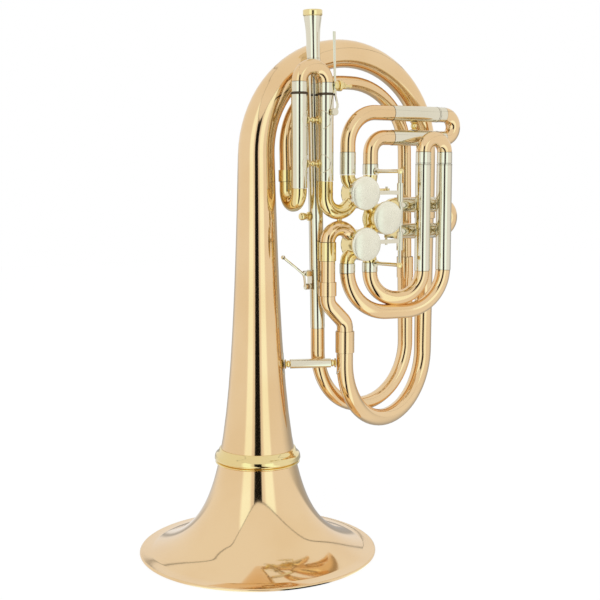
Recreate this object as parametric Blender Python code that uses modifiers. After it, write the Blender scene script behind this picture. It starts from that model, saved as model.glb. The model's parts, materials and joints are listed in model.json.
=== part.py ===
"""Rotary-valve bass trumpet standing on its bell: metres, +Z up, player's side towards -Y."""

import math

import bmesh
import bpy
from mathutils import Matrix, Vector

# The valves' place, from which the other heights are measured

VALVE_X = 0.0835
VALVE_Z = 0.2943
VALVE_PITCH = 0.0226

# Bell: a flare that follows a power law, and a stem that tapers round the top bow.
RIM_RADIUS = 0.105
FLARE_CORE = 0.002
FLARE_START = 0.016
FLARE_POWER = 0.64
BELL_WALL = 0.0007
RIM_BEAD = 0.0014
RIM_FLAT = 0.0014
RING_HEIGHT = 0.080
RING_BEAD = 0.0042
RING_PROUD = 0.0024
BELL_BOW_RISE = 0.0557
BELL_BOW_Z = VALVE_Z + BELL_BOW_RISE
BELL_TUBE_X = 0.1805
BELL_TUBE_RADIUS = 0.0072
BELL_JOINT_RISE = 0.0137
BELL_JOINT_Z = VALVE_Z + BELL_JOINT_RISE
BELL_COLLAR = 0.018

# Planes that the tubes lie in, front to back.
VALVE_Y = -0.034
LEADPIPE_TOP_Y = -0.0212
LEADPIPE_FOOT_Y = -0.0165
FRONT_LEG_Y = -0.049
RETURN_Y = -0.0097
HINGE_Y = -0.070

# Tube sizes.
TUBE_WALL = 0.0006
LEAD_RADIUS = 0.0061
VALVE_TUBE_RADIUS = 0.0066
SLIDE_RADIUS = 0.0069
SLIDE_WALL = 0.0005
SLIDE_CLEARANCE = 0.0005
GAP = 0.0003
FERRULE_PROUD = 0.0012

# Leadpipe, its bottom bow and the inner arc that leads to the main tuning slide.
RECEIVER_TOP_X = 0.0436
RECEIVER_COLLAR = 0.0050
RECEIVER_LENGTH = 0.0405
RECEIVER_NECK = 0.0125
RECEIVER_WAIST = 0.0260
RECEIVER_BORE = 0.0300
RECEIVER_RISE = 0.0304
SLEEVE_END_RISE = -0.0960
SLEEVE_END_Z = VALVE_Z + SLEEVE_END_RISE
LEADPIPE_FOOT_X = 0.0524
LEADPIPE_BOW_RISE = -0.1163
LEADPIPE_BOW_Z = VALVE_Z + LEADPIPE_BOW_RISE
INNER_LEG_FOOT_X = 0.1595
INNER_LEG_TOP_X = 0.1545
INNER_ARC_RISE = 0.0567
INNER_ARC_Z = VALVE_Z + INNER_ARC_RISE
INNER_ARC_RADIUS = 0.0638
INNER_JOINT_RISE = -0.0573
INNER_JOINT_Z = VALVE_Z + INNER_JOINT_RISE
INNER_COLLAR = 0.0195
RETURN_X = 0.0247
RETURN_JOINT_RISE = 0.0427
RETURN_JOINT_Z = VALVE_Z + RETURN_JOINT_RISE
OFFSET_TOP_RISE = 0.0787
OFFSET_TOP_Z = VALVE_Z + OFFSET_TOP_RISE
OFFSET_FOOT_RISE = 0.0547
OFFSET_FOOT_Z = VALVE_Z + OFFSET_FOOT_RISE

# Main tuning slide.
TUNING_LEFT_X = 0.0232
TUNING_RIGHT_X = 0.049
TUNING_LEFT_FOOT_RISE = 0.0274
TUNING_LEFT_FOOT_Z = VALVE_Z + TUNING_LEFT_FOOT_RISE
TUNING_RIGHT_FOOT_RISE = 0.0333
TUNING_RIGHT_FOOT_Z = VALVE_Z + TUNING_RIGHT_FOOT_RISE
TUNING_MOUTH_RISE = 0.1073
TUNING_MOUTH_Z = VALVE_Z + TUNING_MOUTH_RISE
RECEIVER_BASE_Z = TUNING_MOUTH_Z + RECEIVER_RISE
RECEIVER_TOP_Z = RECEIVER_BASE_Z + RECEIVER_LENGTH
TUNING_SLEEVE = 0.011
TUNING_LEG = 0.060
TUNING_STAY_RISES = (0.0814, 0.0469)
TUNING_STAYS = tuple(VALVE_Z + rise for rise in TUNING_STAY_RISES)

# Valves: three rotors with ports on the diagonals, the middle one set to the right.
CASING_RADIUS = 0.0135
CASING_WALL = 0.0009
CASING_HALF = 0.013
STOP_PLATE = 0.0015
STOP_PLATE_RADIUS = 0.0116
ROTOR_RADIUS = 0.01215
ROTOR_HALF = 0.0095
PASSAGE_RADIUS = 0.0047
SPINDLE_RADIUS = 0.0027
SPINDLE_END_RADIUS = 0.0018
LEG_OFFSET = 0.0118
KNUCKLE_RADIUS = 0.0070
KNUCKLE_END = 0.0158
INLET_BEND_RADIUS = 0.0131
OUTLET_BEND_RADIUS = 0.0119

# Valve slides: 1 and 2 pull to the right, 3 pulls upwards.
SLIDE1_TOP_RISE = 0.0927
SLIDE1_TOP_Z = VALVE_Z + SLIDE1_TOP_RISE
SLIDE1_OUTER_BEND = 0.028
SLIDE1_INNER_BEND = 0.014
SLIDE1_FERRULE_LEFT_RISE = 0.0580
SLIDE1_FERRULE_LEFT_Z = VALVE_Z + SLIDE1_FERRULE_LEFT_RISE
SLIDE1_FERRULE_RIGHT_RISE = 0.0479
SLIDE1_FERRULE_RIGHT_Z = VALVE_Z + SLIDE1_FERRULE_RIGHT_RISE
SLIDE1_START_X = 0.122
SLIDE1_MOUTH_X = 0.167
SLIDE1_SLEEVE = 0.009
SLIDE1_LEG = 0.038
SLIDE1_BRACE_X = 0.1417
SLIDE2_MOUTH_X = 0.164
SLIDE2_SLEEVE = 0.0075
SLIDE2_LEG = 0.034
SLIDE3_FERRULE_RISE = -0.0435
SLIDE3_FERRULE_Z = VALVE_Z + SLIDE3_FERRULE_RISE
SLIDE3_OUTER_X = 0.1670
SLIDE3_BOTTOM_RISE = -0.0828
SLIDE3_BOTTOM_Z = VALVE_Z + SLIDE3_BOTTOM_RISE
SLIDE3_OUTER_BEND = 0.038
SLIDE3_MOUTH_RISE = 0.0486
SLIDE3_MOUTH_Z = VALVE_Z + SLIDE3_MOUTH_RISE
SLIDE3_SLEEVE = 0.0115
SLIDE3_LEG = 0.080
SLIDE3_PITCH = 0.0234

# Main run from the third valve to the bell.
DOWN_X = 0.0515
DOWN_FERRULE_TOP_RISE = -0.0193
DOWN_FERRULE_TOP_Z = VALVE_Z + DOWN_FERRULE_TOP_RISE
DOWN_FERRULE_FOOT_RISE = -0.0356
DOWN_FERRULE_FOOT_Z = VALVE_Z + DOWN_FERRULE_FOOT_RISE
DOWN_SLEEVE_TOP_RISE = -0.0540
DOWN_SLEEVE_TOP_Z = VALVE_Z + DOWN_SLEEVE_TOP_RISE
DOWN_SLEEVE_FOOT_RISE = -0.0662
DOWN_SLEEVE_FOOT_Z = VALVE_Z + DOWN_SLEEVE_FOOT_RISE
MAIN_LEFT_X = 0.0695
MAIN_FERRULE_TOP_RISE = -0.0983
MAIN_FERRULE_TOP_Z = VALVE_Z + MAIN_FERRULE_TOP_RISE
MAIN_FERRULE_FOOT_RISE = -0.1173
MAIN_FERRULE_FOOT_Z = VALVE_Z + MAIN_FERRULE_FOOT_RISE
MAIN_BOW_RISE = -0.1263
MAIN_BOW_Z = VALVE_Z + MAIN_BOW_RISE
S_BEND_RADIUS = 0.011
S_BEND_LEAD = 0.0066
S_BEND_TAIL = 0.0075

# Levers, links and stops.
HINGE_X = 0.102
HINGE_ROD_RADIUS = 0.0015
BARREL_RADIUS = 0.0027
BARREL_LENGTH = 0.016
HINGE_TOP_RISE = 0.0417
HINGE_TOP_Z = VALVE_Z + HINGE_TOP_RISE
HINGE_FOOT_RISE = -0.0388
HINGE_FOOT_Z = VALVE_Z + HINGE_FOOT_RISE
ARM_LENGTH = 0.016
LEVER_SWING = math.radians(23.5)
CRANK_RADIUS = 0.0046
TOUCH_RADIUS = 0.0119
TOUCH_FRONT_Y = -0.0795
TOUCH_X = (0.0591, 0.0834, 0.0614)
TOUCH_RISES = (0.0236, 0.0024, -0.0179)
TOUCH_Z = tuple(VALVE_Z + rise for rise in TOUCH_RISES)
BAR_WIDTH = 0.0034
BAR_THICKNESS = 0.0018
LINK_RADIUS = 0.0009
EYE_WALL = 0.0009
PIN_RADIUS = 0.0011

# Water keys, braces and the small fittings.
KEY_HINGE_Y = -0.037
KEY_HINGE_RISE = 0.1142
KEY_HINGE_Z = VALVE_Z + KEY_HINGE_RISE
KEY_TOP_RISE = 0.1592
KEY_TOP_Z = VALVE_Z + KEY_TOP_RISE
KEY_PAD_X = 0.0515
KEY_PAD_RISE = 0.0915
KEY_PAD_Z = VALVE_Z + KEY_PAD_RISE
KEY_ROD_X = 0.0586
KEY_ROD_RADIUS = 0.0010
KEY_BARREL_RADIUS = 0.0022
KEY_BARREL_END_X = 0.0646
KEY_PIVOT_RADIUS = 0.0012
KEY_POST_X = 0.072
LOWER_KEY_RISE = -0.0473
LOWER_KEY_Z = VALVE_Z + LOWER_KEY_RISE
LOWER_PAD_DROP = 0.0115
LOWER_SIDE = LEAD_RADIUS + 0.0002
NIPPLE_HEIGHT = 0.0016
CORK_DEPTH = 0.0020
LYRE_RISE = 0.0027
LYRE_Z = VALVE_Z + LYRE_RISE
BRACE_RISE = -0.1278
BRACE_Z = VALVE_Z + BRACE_RISE
BRACE_RADIUS = 0.0038
BRACE_ANGLE = math.radians(-38)
BRACE_GAP = 0.0010
STRUT_RADIUS = 0.0016
STRUT_FLANGE = 0.0024

CHORD_ERROR = 0.0008
WIDEST_STEP = math.radians(30)
EDGE = 0.0002
INSERT = 0.003
TUBE_SIDES = 10
ROUND_SIDES = 14
CASING_SIDES = 18
CAP_SIDES = 16
BELL_SIDES = 32


def start_scene():
    for old in list(bpy.data.objects):
        bpy.data.objects.remove(old, do_unlink=True)
    collections = []
    for name in ("bass_trumpet", "cutters"):
        made = bpy.data.collections.new(name)
        bpy.context.scene.collection.children.link(made)
        collections.append(made)
    return collections


PARTS, CUTTERS = start_scene()


def finish(name, colour, roughness, metallic=1.0):
    material = bpy.data.materials.new(name)
    material.use_nodes = True
    shader = material.node_tree.nodes["Principled BSDF"]
    shader.inputs["Base Color"].default_value = (*colour, 1.0)
    shader.inputs["Roughness"].default_value = roughness
    shader.inputs["Metallic"].default_value = metallic
    material.diffuse_color = (*colour, 1.0)
    return material


GOLD_BRASS = finish("gold_brass", (0.87, 0.60, 0.36), 0.12)
YELLOW_BRASS = finish("yellow_brass", (0.85, 0.66, 0.30), 0.15)
NICKEL = finish("nickel_silver", (0.80, 0.77, 0.70), 0.14)
PEARL = finish("pearl", (0.90, 0.86, 0.74), 0.22, 0.0)
CORK = finish("cork", (0.42, 0.27, 0.15), 0.8, 0.0)


def new_object(name, data, material, collection=None):
    made = bpy.data.objects.new(name, data)
    (collection or PARTS).objects.link(made)
    if material:
        data.materials.append(material)
    return made


def rounded(corners, radii):
    """Points along straight runs whose corners are turned with arcs of the given radii."""
    corners = [Vector(corner) for corner in corners]
    points = [corners[0]]
    for before, corner, after, radius in zip(corners, corners[1:], corners[2:], radii):
        back = (before - corner).normalized()
        ahead = (after - corner).normalized()
        turn = math.pi - back.angle(ahead)
        tangent = radius * math.tan(turn / 2)
        middle = corner + (back + ahead).normalized() * radius / math.cos(turn / 2)
        first = corner + back * tangent - middle
        axis = (-back).cross(ahead).normalized()
        step = min(WIDEST_STEP, 2 * math.acos(1 - CHORD_ERROR / radius))
        steps = max(2, math.ceil(turn / step - 1e-6))
        for index in range(steps + 1):
            points.append(middle + Matrix.Rotation(turn * index / steps, 3, axis) @ first)
    points.append(corners[-1])
    kept = [points[0]]
    for point in points[1:]:
        if (point - kept[-1]).length > 1e-5:
            kept.append(point)
    return kept


def curve_data(name, points, radii, sides, caps):
    data = bpy.data.curves.new(name, "CURVE")
    data.dimensions = "3D"
    data.bevel_depth = 1.0
    data.bevel_resolution = (sides - 4) // 2
    data.use_fill_caps = caps
    spline = data.splines.new("POLY")
    spline.points.add(len(points) - 1)
    for place, point, radius in zip(spline.points, points, radii):
        place.co = (*point, 1.0)
        place.radius = radius
    spline.use_smooth = True
    return data


def tube(name, points, radius, material, wall=TUBE_WALL, sides=TUBE_SIDES):
    """A hollow tube along the points; the radius is a number or one number for each point."""
    radii = radius if isinstance(radius, (list, tuple)) else [radius] * len(points)
    made = new_object(name, curve_data(name, points, radii, sides, False), material)
    shell = made.modifiers.new("wall", "SOLIDIFY")
    shell.thickness = wall
    shell.offset = -1.0
    return made


def stepped(points, base, bands):
    """The points and radii of a tube with raised bands, each given as a start, an end and a radius."""
    lengths = [0.0]
    for before, after in zip(points, points[1:]):
        lengths.append(lengths[-1] + (after - before).length)
    total = lengths[-1]
    marks = []
    for start, end, radius in bands:
        if start > EDGE:
            marks += [start - EDGE, start]
        if end < total - EDGE:
            marks += [end, end + EDGE]
    places = sorted(set(lengths + marks))
    kept = []
    for place in places:
        near = any(abs(place - mark) < 4 * EDGE for mark in marks)
        if place in marks or not near or place in (0.0, total):
            kept.append(place)
    path = []
    radii = []
    for place in kept:
        index = max(number for number, length in enumerate(lengths) if length <= place + 1e-9)
        index = min(index, len(points) - 2)
        share = (place - lengths[index]) / (lengths[index + 1] - lengths[index])
        path.append(points[index].lerp(points[index + 1], share))
        radius = base
        for start, end, raised in bands:
            if start - EDGE / 2 < place < end + EDGE / 2:
                radius = raised
        radii.append(radius)
    return path, radii


def banded_tube(name, points, base, bands, material, wall=TUBE_WALL):
    path, radii = stepped(points, base, bands)
    return tube(name, path, radii, material, wall)


def path_length(points):
    return sum((after - before).length for before, after in zip(points, points[1:]))


def wire(name, points, radius, material, sides=8):
    radii = radius if isinstance(radius, (list, tuple)) else [radius] * len(points)
    return new_object(name, curve_data(name, points, radii, sides, True), material)


def as_mesh(made):
    """The object as it looks with its modifiers, made a plain mesh with its caps welded."""
    bpy.context.view_layer.update()
    graph = bpy.context.evaluated_depsgraph_get()
    mesh = bpy.data.meshes.new_from_object(made.evaluated_get(graph))
    mesh.name = made.name
    shape = bmesh.new()
    shape.from_mesh(mesh)
    bmesh.ops.remove_doubles(shape, verts=shape.verts, dist=1e-6)
    bmesh.ops.recalc_face_normals(shape, faces=shape.faces)
    shape.to_mesh(mesh)
    shape.free()
    name = made.name
    place = made.matrix_world.copy()
    collection = made.users_collection[0]
    bpy.data.objects.remove(made, do_unlink=True)
    solid = bpy.data.objects.new(name, mesh)
    collection.objects.link(solid)
    solid.matrix_world = place
    return solid


def solid_rod(points, radius, sides=TUBE_SIDES):
    return as_mesh(wire("rod", points, radius, None, sides))


def turned(name, profile, place, material, axis=(0, 0, 1), steps=ROUND_SIDES, closed=True):
    """A solid turned about the axis: the profile runs down its outer side and up its inner side."""
    mesh = bpy.data.meshes.new(name)
    edges = [(index, index + 1) for index in range(len(profile) - 1)]
    if closed:
        edges.append((len(profile) - 1, 0))
    mesh.from_pydata([(radius, 0.0, height) for radius, height in profile], edges, [])
    made = new_object(name, mesh, material)
    turn = made.modifiers.new("turn", "SCREW")
    turn.axis = "Z"
    turn.steps = steps
    turn.render_steps = steps
    turn.use_merge_vertices = True
    turn.merge_threshold = 1e-5
    made.matrix_world = Matrix.Translation(place) @ Vector(axis).to_track_quat("Z", "Y").to_matrix().to_4x4()
    return made


def solid_turn(profile, place, axis=(0, 0, 1), steps=ROUND_SIDES):
    return as_mesh(turned("turned", profile, place, None, axis, steps, closed=False))


def disc(radius, low, high):
    """The profile of a plain solid disc from one height to another."""
    return [(0.0, high), (radius, high), (radius, low), (0.0, low)]


def sleeve_profile(outer, inner, low, high):
    return [(outer, high), (outer, low), (inner, low), (inner, high)]


def ball(radius, place, sides=8):
    profile = []
    for index in range(sides // 2 + 1):
        angle = math.pi / 2 - math.pi * index / (sides // 2)
        across = radius * math.cos(angle) if 0 < index < sides // 2 else 0.0
        profile.append((across, radius * math.sin(angle)))
    return solid_turn(profile, place, steps=sides)


def bar(start, end, width, thickness, up=(0, 0, 1)):
    """A straight flat bar, with its width along up."""
    start = Vector(start)
    end = Vector(end)
    along = (end - start).normalized()
    side = along.cross(Vector(up)).normalized()
    top = side.cross(along)
    shape = bmesh.new()
    bmesh.ops.create_cube(shape, size=1.0)
    frame = Matrix((along, side, top)).transposed().to_4x4()
    size = Matrix.Diagonal(((end - start).length, thickness, width, 1.0))
    bmesh.ops.transform(shape, matrix=Matrix.Translation((start + end) / 2) @ frame @ size, verts=shape.verts)
    bmesh.ops.recalc_face_normals(shape, faces=shape.faces)
    mesh = bpy.data.meshes.new("bar")
    shape.to_mesh(mesh)
    shape.free()
    return new_object("bar", mesh, None)


def combine(made, others, operation, solver):
    """Unites or cuts with each of the others, which become hidden cutters."""
    for other in others:
        boolean = made.modifiers.new(operation.lower(), "BOOLEAN")
        boolean.operation = operation
        boolean.solver = solver
        boolean.object = other
        PARTS.objects.unlink(other)
        CUTTERS.objects.link(other)
        other.hide_render = True
        other.display_type = "WIRE"
    return made


def fused(name, pieces, material, cuts=(), solver="EXACT"):
    base = pieces[0]
    base.name = name
    base.data.name = name
    if material:
        base.data.materials.append(material)
    combine(base, pieces[1:], "UNION", solver)
    return combine(base, cuts, "DIFFERENCE", solver)


# Bell and its bow


def bell_radius(height):
    reach = (height + FLARE_START) / FLARE_START
    return FLARE_CORE + (RIM_RADIUS - FLARE_CORE) * reach**-FLARE_POWER


def bell_flare():
    """The flare from the seam ring to the rim, which rolls over a wire and rests on a flat edge."""
    seam = RING_HEIGHT - GAP / 2
    heights = [seam * (1 - share) ** 1.6 for share in [index / 10 for index in range(10)]]
    lip = 0.0026
    outer = [(bell_radius(height), height) for height in heights if height > lip]
    bead_top = RIM_RADIUS - RIM_BEAD * 0.5
    edge = [
        (bead_top, lip),
        (RIM_RADIUS, lip * 0.62),
        (RIM_RADIUS, lip * 0.3),
        (RIM_RADIUS - RIM_BEAD * 0.4, 0.0),
        (RIM_RADIUS - RIM_BEAD * 0.4 - RIM_FLAT, 0.0),
        (RIM_RADIUS - RIM_BEAD * 2.2, lip * 0.45),
    ]
    inner = []
    for height in reversed(heights):
        slope = (bell_radius(height) - bell_radius(height + 0.0005)) / 0.0005
        lean = math.atan(slope)
        radius = bell_radius(height) - BELL_WALL * math.cos(lean)
        drop = height - BELL_WALL * math.sin(lean)
        if drop > lip * 0.6 and height > lip:
            inner.append((radius, max(drop, 0.0)))
    inner[-1] = (bell_radius(seam) - BELL_WALL, seam)
    return turned("bell_flare", outer + edge + inner, (0, 0, 0), GOLD_BRASS, steps=BELL_SIDES)


def bell_stem():
    """The stem and its bow, one tapering tube from the seam ring over the top to the bell joint."""
    top = BELL_BOW_Z + BELL_TUBE_X / 2
    corners = [
        (0, 0, RING_HEIGHT + GAP / 2),
        (0, 0, top),
        (BELL_TUBE_X, 0, top),
        (BELL_TUBE_X, 0, BELL_JOINT_Z - INSERT),
    ]
    bend = BELL_TUBE_X / 2
    path = rounded(corners, (bend, bend))
    rise = [RING_HEIGHT + 2 * RING_BEAD]
    rise += [RING_HEIGHT + (BELL_BOW_Z - RING_HEIGHT) * share for share in (0.085, 0.185, 0.37, 0.65)]
    path = path[:1] + [Vector((0, 0, height)) for height in rise] + path[1:]
    length = RING_HEIGHT
    lengths = [length]
    for before, after in zip(path, path[1:]):
        length += (after - before).length
        lengths.append(length)
    bow_start = BELL_BOW_Z
    bow_end = bow_start + math.pi * BELL_TUBE_X / 2
    radii = []
    for length in lengths:
        share = min(max((length - bow_start) / (bow_end - bow_start), 0.0), 1.0)
        taper = bell_radius(bow_start) * (1 - share) + BELL_TUBE_RADIUS * share
        radii.append(bell_radius(length) if length <= bow_start else taper)
    return tube("bell_stem", path, radii, GOLD_BRASS, BELL_WALL, sides=16)


def bell_ring():
    """Two beads side by side over the seam between flare and stem."""
    profile = []
    inner = []
    for centre in (RING_BEAD, -RING_BEAD):
        for angle in (75, 25, -25, -75):
            rise = RING_BEAD * math.sin(math.radians(angle))
            height = centre + rise
            out = bell_radius(RING_HEIGHT + height) + GAP + 0.0008
            profile.append((out + RING_PROUD * math.cos(math.radians(angle)), height))
    for height in (-RING_BEAD * 2, 0.0, RING_BEAD * 2):
        inner.append((bell_radius(RING_HEIGHT + height) + GAP, height))
    profile[0] = (profile[0][0], RING_BEAD * 2)
    profile[-1] = (profile[-1][0], -RING_BEAD * 2)
    return turned("bell_ring", profile + inner, (0, 0, RING_HEIGHT), YELLOW_BRASS, steps=BELL_SIDES)


# Main run from the third valve to the bell


def main_bow():
    """The bottom bow of the main run, with a collar at each end for the tubes that enter it."""
    bend = math.hypot(BELL_TUBE_X - MAIN_LEFT_X, VALVE_Y) / 2
    low = MAIN_BOW_Z - bend
    corners = [
        (MAIN_LEFT_X, VALVE_Y, MAIN_FERRULE_TOP_Z),
        (MAIN_LEFT_X, VALVE_Y, low),
        (BELL_TUBE_X, 0, low),
        (BELL_TUBE_X, 0, BELL_JOINT_Z),
    ]
    path = rounded(corners, (bend, bend))
    total = path_length(path)
    collar = BELL_TUBE_RADIUS + FERRULE_PROUD
    bands = [(0.0, MAIN_FERRULE_TOP_Z - MAIN_FERRULE_FOOT_Z, collar), (total - BELL_COLLAR, total, collar)]
    return banded_tube("main_bow", path, BELL_TUBE_RADIUS, bands, GOLD_BRASS)


def s_bend():
    """A short S from the outlet tube's sleeve over to the main bow."""
    corners = [
        (DOWN_X, VALVE_Y, DOWN_SLEEVE_TOP_Z),
        (DOWN_X, VALVE_Y, DOWN_SLEEVE_FOOT_Z - S_BEND_LEAD),
        (MAIN_LEFT_X, VALVE_Y, MAIN_FERRULE_TOP_Z + S_BEND_TAIL),
        (MAIN_LEFT_X, VALVE_Y, MAIN_FERRULE_TOP_Z - INSERT),
    ]
    path = rounded(corners, (S_BEND_RADIUS, S_BEND_RADIUS))
    band = (0.0, DOWN_SLEEVE_TOP_Z - DOWN_SLEEVE_FOOT_Z, VALVE_TUBE_RADIUS + FERRULE_PROUD)
    path, radii = stepped(path, VALVE_TUBE_RADIUS, [band])
    drop = path[0].z - path[-1].z
    grow = BELL_TUBE_RADIUS - VALVE_TUBE_RADIUS
    for index, point in enumerate(path):
        if radii[index] == VALVE_TUBE_RADIUS:
            radii[index] += grow * (path[0].z - point.z) / drop
    return tube("s_bend", path, radii, GOLD_BRASS)


# Leadpipe and the inner arc


def leadpipe_x(height):
    share = (RECEIVER_TOP_Z - height) / (RECEIVER_TOP_Z - LEADPIPE_BOW_Z)
    return RECEIVER_TOP_X + (LEADPIPE_FOOT_X - RECEIVER_TOP_X) * share


def leadpipe_point(height):
    share = (RECEIVER_TOP_Z - height) / (RECEIVER_TOP_Z - LEADPIPE_BOW_Z)
    return Vector((leadpipe_x(height), LEADPIPE_TOP_Y + (LEADPIPE_FOOT_Y - LEADPIPE_TOP_Y) * share, height))


LEADPIPE_AXIS = (leadpipe_point(1.0) - leadpipe_point(0.0)).normalized()


def receiver():
    """The mouthpiece receiver: a waisted cone with the tapered bore that takes the shank."""
    length = RECEIVER_LENGTH
    profile = [
        (0.0071, 0.0),
        (0.0071, -RECEIVER_COLLAR - GAP),
        (0.0078, -RECEIVER_COLLAR - GAP),
        (0.0068, -RECEIVER_NECK),
        (0.0059, -RECEIVER_WAIST),
        (0.0062, -length),
        (LEAD_RADIUS - TUBE_WALL, -length),
        (0.0046, -RECEIVER_BORE),
        (0.0056, -0.0008),
        (0.0062, 0.0),
    ]
    return turned("receiver", profile, leadpipe_point(RECEIVER_TOP_Z), NICKEL, LEADPIPE_AXIS, steps=16)


def receiver_collar():
    outer = 0.0084
    profile = [
        (outer - 0.0005, 0.0),
        (outer, -0.0006),
        (outer, 0.0006 - RECEIVER_COLLAR),
        (outer - 0.0005, -RECEIVER_COLLAR),
        (0.0071 + GAP, -RECEIVER_COLLAR),
        (0.0071 + GAP, 0.0),
    ]
    return turned("receiver_collar", profile, leadpipe_point(RECEIVER_TOP_Z), YELLOW_BRASS, LEADPIPE_AXIS, 16)


def leadpipe_sleeve():
    points = [leadpipe_point(RECEIVER_BASE_Z - GAP), leadpipe_point(SLEEVE_END_Z)]
    return tube("leadpipe_sleeve", points, LEAD_RADIUS + 0.0002, NICKEL)


def leadpipe_bow():
    """Gold-brass tube from the sleeve round the bottom bow and up behind the valves."""
    foot = Vector((LEADPIPE_FOOT_X, LEADPIPE_FOOT_Y, 0))
    other = Vector((INNER_LEG_FOOT_X, 0, 0))
    bend = (other - foot).length / 2
    low = LEADPIPE_BOW_Z - bend
    corners = [
        leadpipe_point(SLEEVE_END_Z - GAP),
        (LEADPIPE_FOOT_X, LEADPIPE_FOOT_Y, low),
        (INNER_LEG_FOOT_X, 0, low),
        (inner_leg_x(INNER_JOINT_Z), 0, INNER_JOINT_Z + INSERT),
    ]
    return tube("leadpipe_bow", rounded(corners, (bend * 0.995, bend * 0.995)), LEAD_RADIUS, GOLD_BRASS)


def inner_leg_x(height):
    share = (height - LEADPIPE_BOW_Z) / (INNER_ARC_Z - LEADPIPE_BOW_Z)
    return INNER_LEG_FOOT_X + (INNER_LEG_TOP_X - INNER_LEG_FOOT_X) * share


def inner_arc():
    """From behind the valves over the top, down behind the tuning slide to the return bend."""
    top = INNER_ARC_Z + INNER_ARC_RADIUS
    left = INNER_LEG_TOP_X - 2 * INNER_ARC_RADIUS
    corners = [
        (inner_leg_x(INNER_JOINT_Z), 0, INNER_JOINT_Z),
        (INNER_LEG_TOP_X, 0, top),
        (left, -0.0015, top),
        (left, -0.0015, OFFSET_TOP_Z),
        (RETURN_X, RETURN_Y, OFFSET_FOOT_Z),
        (RETURN_X, RETURN_Y, RETURN_JOINT_Z - INSERT),
    ]
    bend = INNER_ARC_RADIUS * 0.955
    path = rounded(corners, (bend, bend, 0.02, 0.02))
    band = (0.0, INNER_COLLAR, LEAD_RADIUS + FERRULE_PROUD)
    return banded_tube("inner_arc", path, LEAD_RADIUS, [band], GOLD_BRASS)


def return_bend():
    """The U at the foot of the tuning slide, running from front to back."""
    run = math.hypot(RETURN_X - TUNING_LEFT_X, RETURN_Y - VALVE_Y) / 2
    low = TUNING_LEFT_FOOT_Z - GAP - 0.0015 - run
    corners = [
        (TUNING_LEFT_X, VALVE_Y, TUNING_LEFT_FOOT_Z - GAP),
        (TUNING_LEFT_X, VALVE_Y, low),
        (RETURN_X, RETURN_Y, low),
        (RETURN_X, RETURN_Y, RETURN_JOINT_Z),
    ]
    path = rounded(corners, (run, run))
    total = path_length(path)
    band = (total - 0.010, total, LEAD_RADIUS + FERRULE_PROUD)
    return banded_tube("return_bend", path, LEAD_RADIUS + 0.0003, [band], YELLOW_BRASS)


# Slides

SLIDE_BORE = SLIDE_RADIUS - SLIDE_WALL
LEG_RADIUS = SLIDE_BORE - SLIDE_CLEARANCE
MOUTH_RING = 0.0012


def nipple(place, axis):
    """The raised rim of a water hole, standing on its tube."""
    profile = sleeve_profile(0.0024, 0.0012, -0.0003, NIPPLE_HEIGHT)
    return as_mesh(turned("nipple", profile, place, None, axis, 8))


def moving_slide(name, mouths, axis, sleeve, leg):
    """A slide in one piece: two legs in the fixed tubes, a sleeve at each mouth, and the bow."""
    axis = Vector(axis)
    mouths = [Vector(mouth) for mouth in mouths]
    bend = (mouths[1] - mouths[0]).length / 2
    tops = [mouth + axis * (GAP + sleeve + bend) for mouth in mouths]
    corners = [mouths[0] - axis * leg, tops[0], tops[1], mouths[1] - axis * leg]
    path = rounded(corners, (bend, bend))
    total = path_length(path)
    inside = leg + GAP
    bands = [
        (0.0, inside, LEG_RADIUS),
        (inside, inside + sleeve, SLIDE_RADIUS - 0.0001),
        (total - inside - sleeve, total - inside, SLIDE_RADIUS - 0.0001),
        (total - inside, total, LEG_RADIUS),
    ]
    return banded_tube(name, path, VALVE_TUBE_RADIUS, bands, GOLD_BRASS, SLIDE_WALL)


def fixed_tube(name, corners, radii, ferrule, slide, material=GOLD_BRASS):
    """A bent tube with a ferrule at its start and the slide's outer tube, ringed at its mouth, at its end."""
    path = rounded(corners, radii)
    total = path_length(path)
    bands = [
        (0.0, ferrule, SLIDE_RADIUS),
        (total - slide, total - MOUTH_RING, SLIDE_RADIUS),
        (total - MOUTH_RING, total, SLIDE_RADIUS + 0.0006),
    ]
    return banded_tube(name, path, VALVE_TUBE_RADIUS, bands[0 if ferrule else 1:], material, SLIDE_WALL)


def stay(start, end, waist, flange, sides=12):
    """A small turned stay: a flange at each end, a neck, and a ball in the middle."""
    start = Vector(start)
    end = Vector(end)
    half = (end - start).length / 2
    profile = [
        (0.0, half),
        (flange, half),
        (flange, half - 0.0014),
        (waist * 0.6, half - 0.0024),
        (waist * 0.6, waist * 0.9),
        (waist, waist * 0.45),
        (waist, -waist * 0.45),
        (waist * 0.6, -waist * 0.9),
        (waist * 0.6, 0.0024 - half),
        (flange, 0.0014 - half),
        (flange, -half),
        (0.0, -half),
    ]
    return turned("stay", profile, (start + end) / 2, YELLOW_BRASS, end - start, sides, closed=False)


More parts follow.
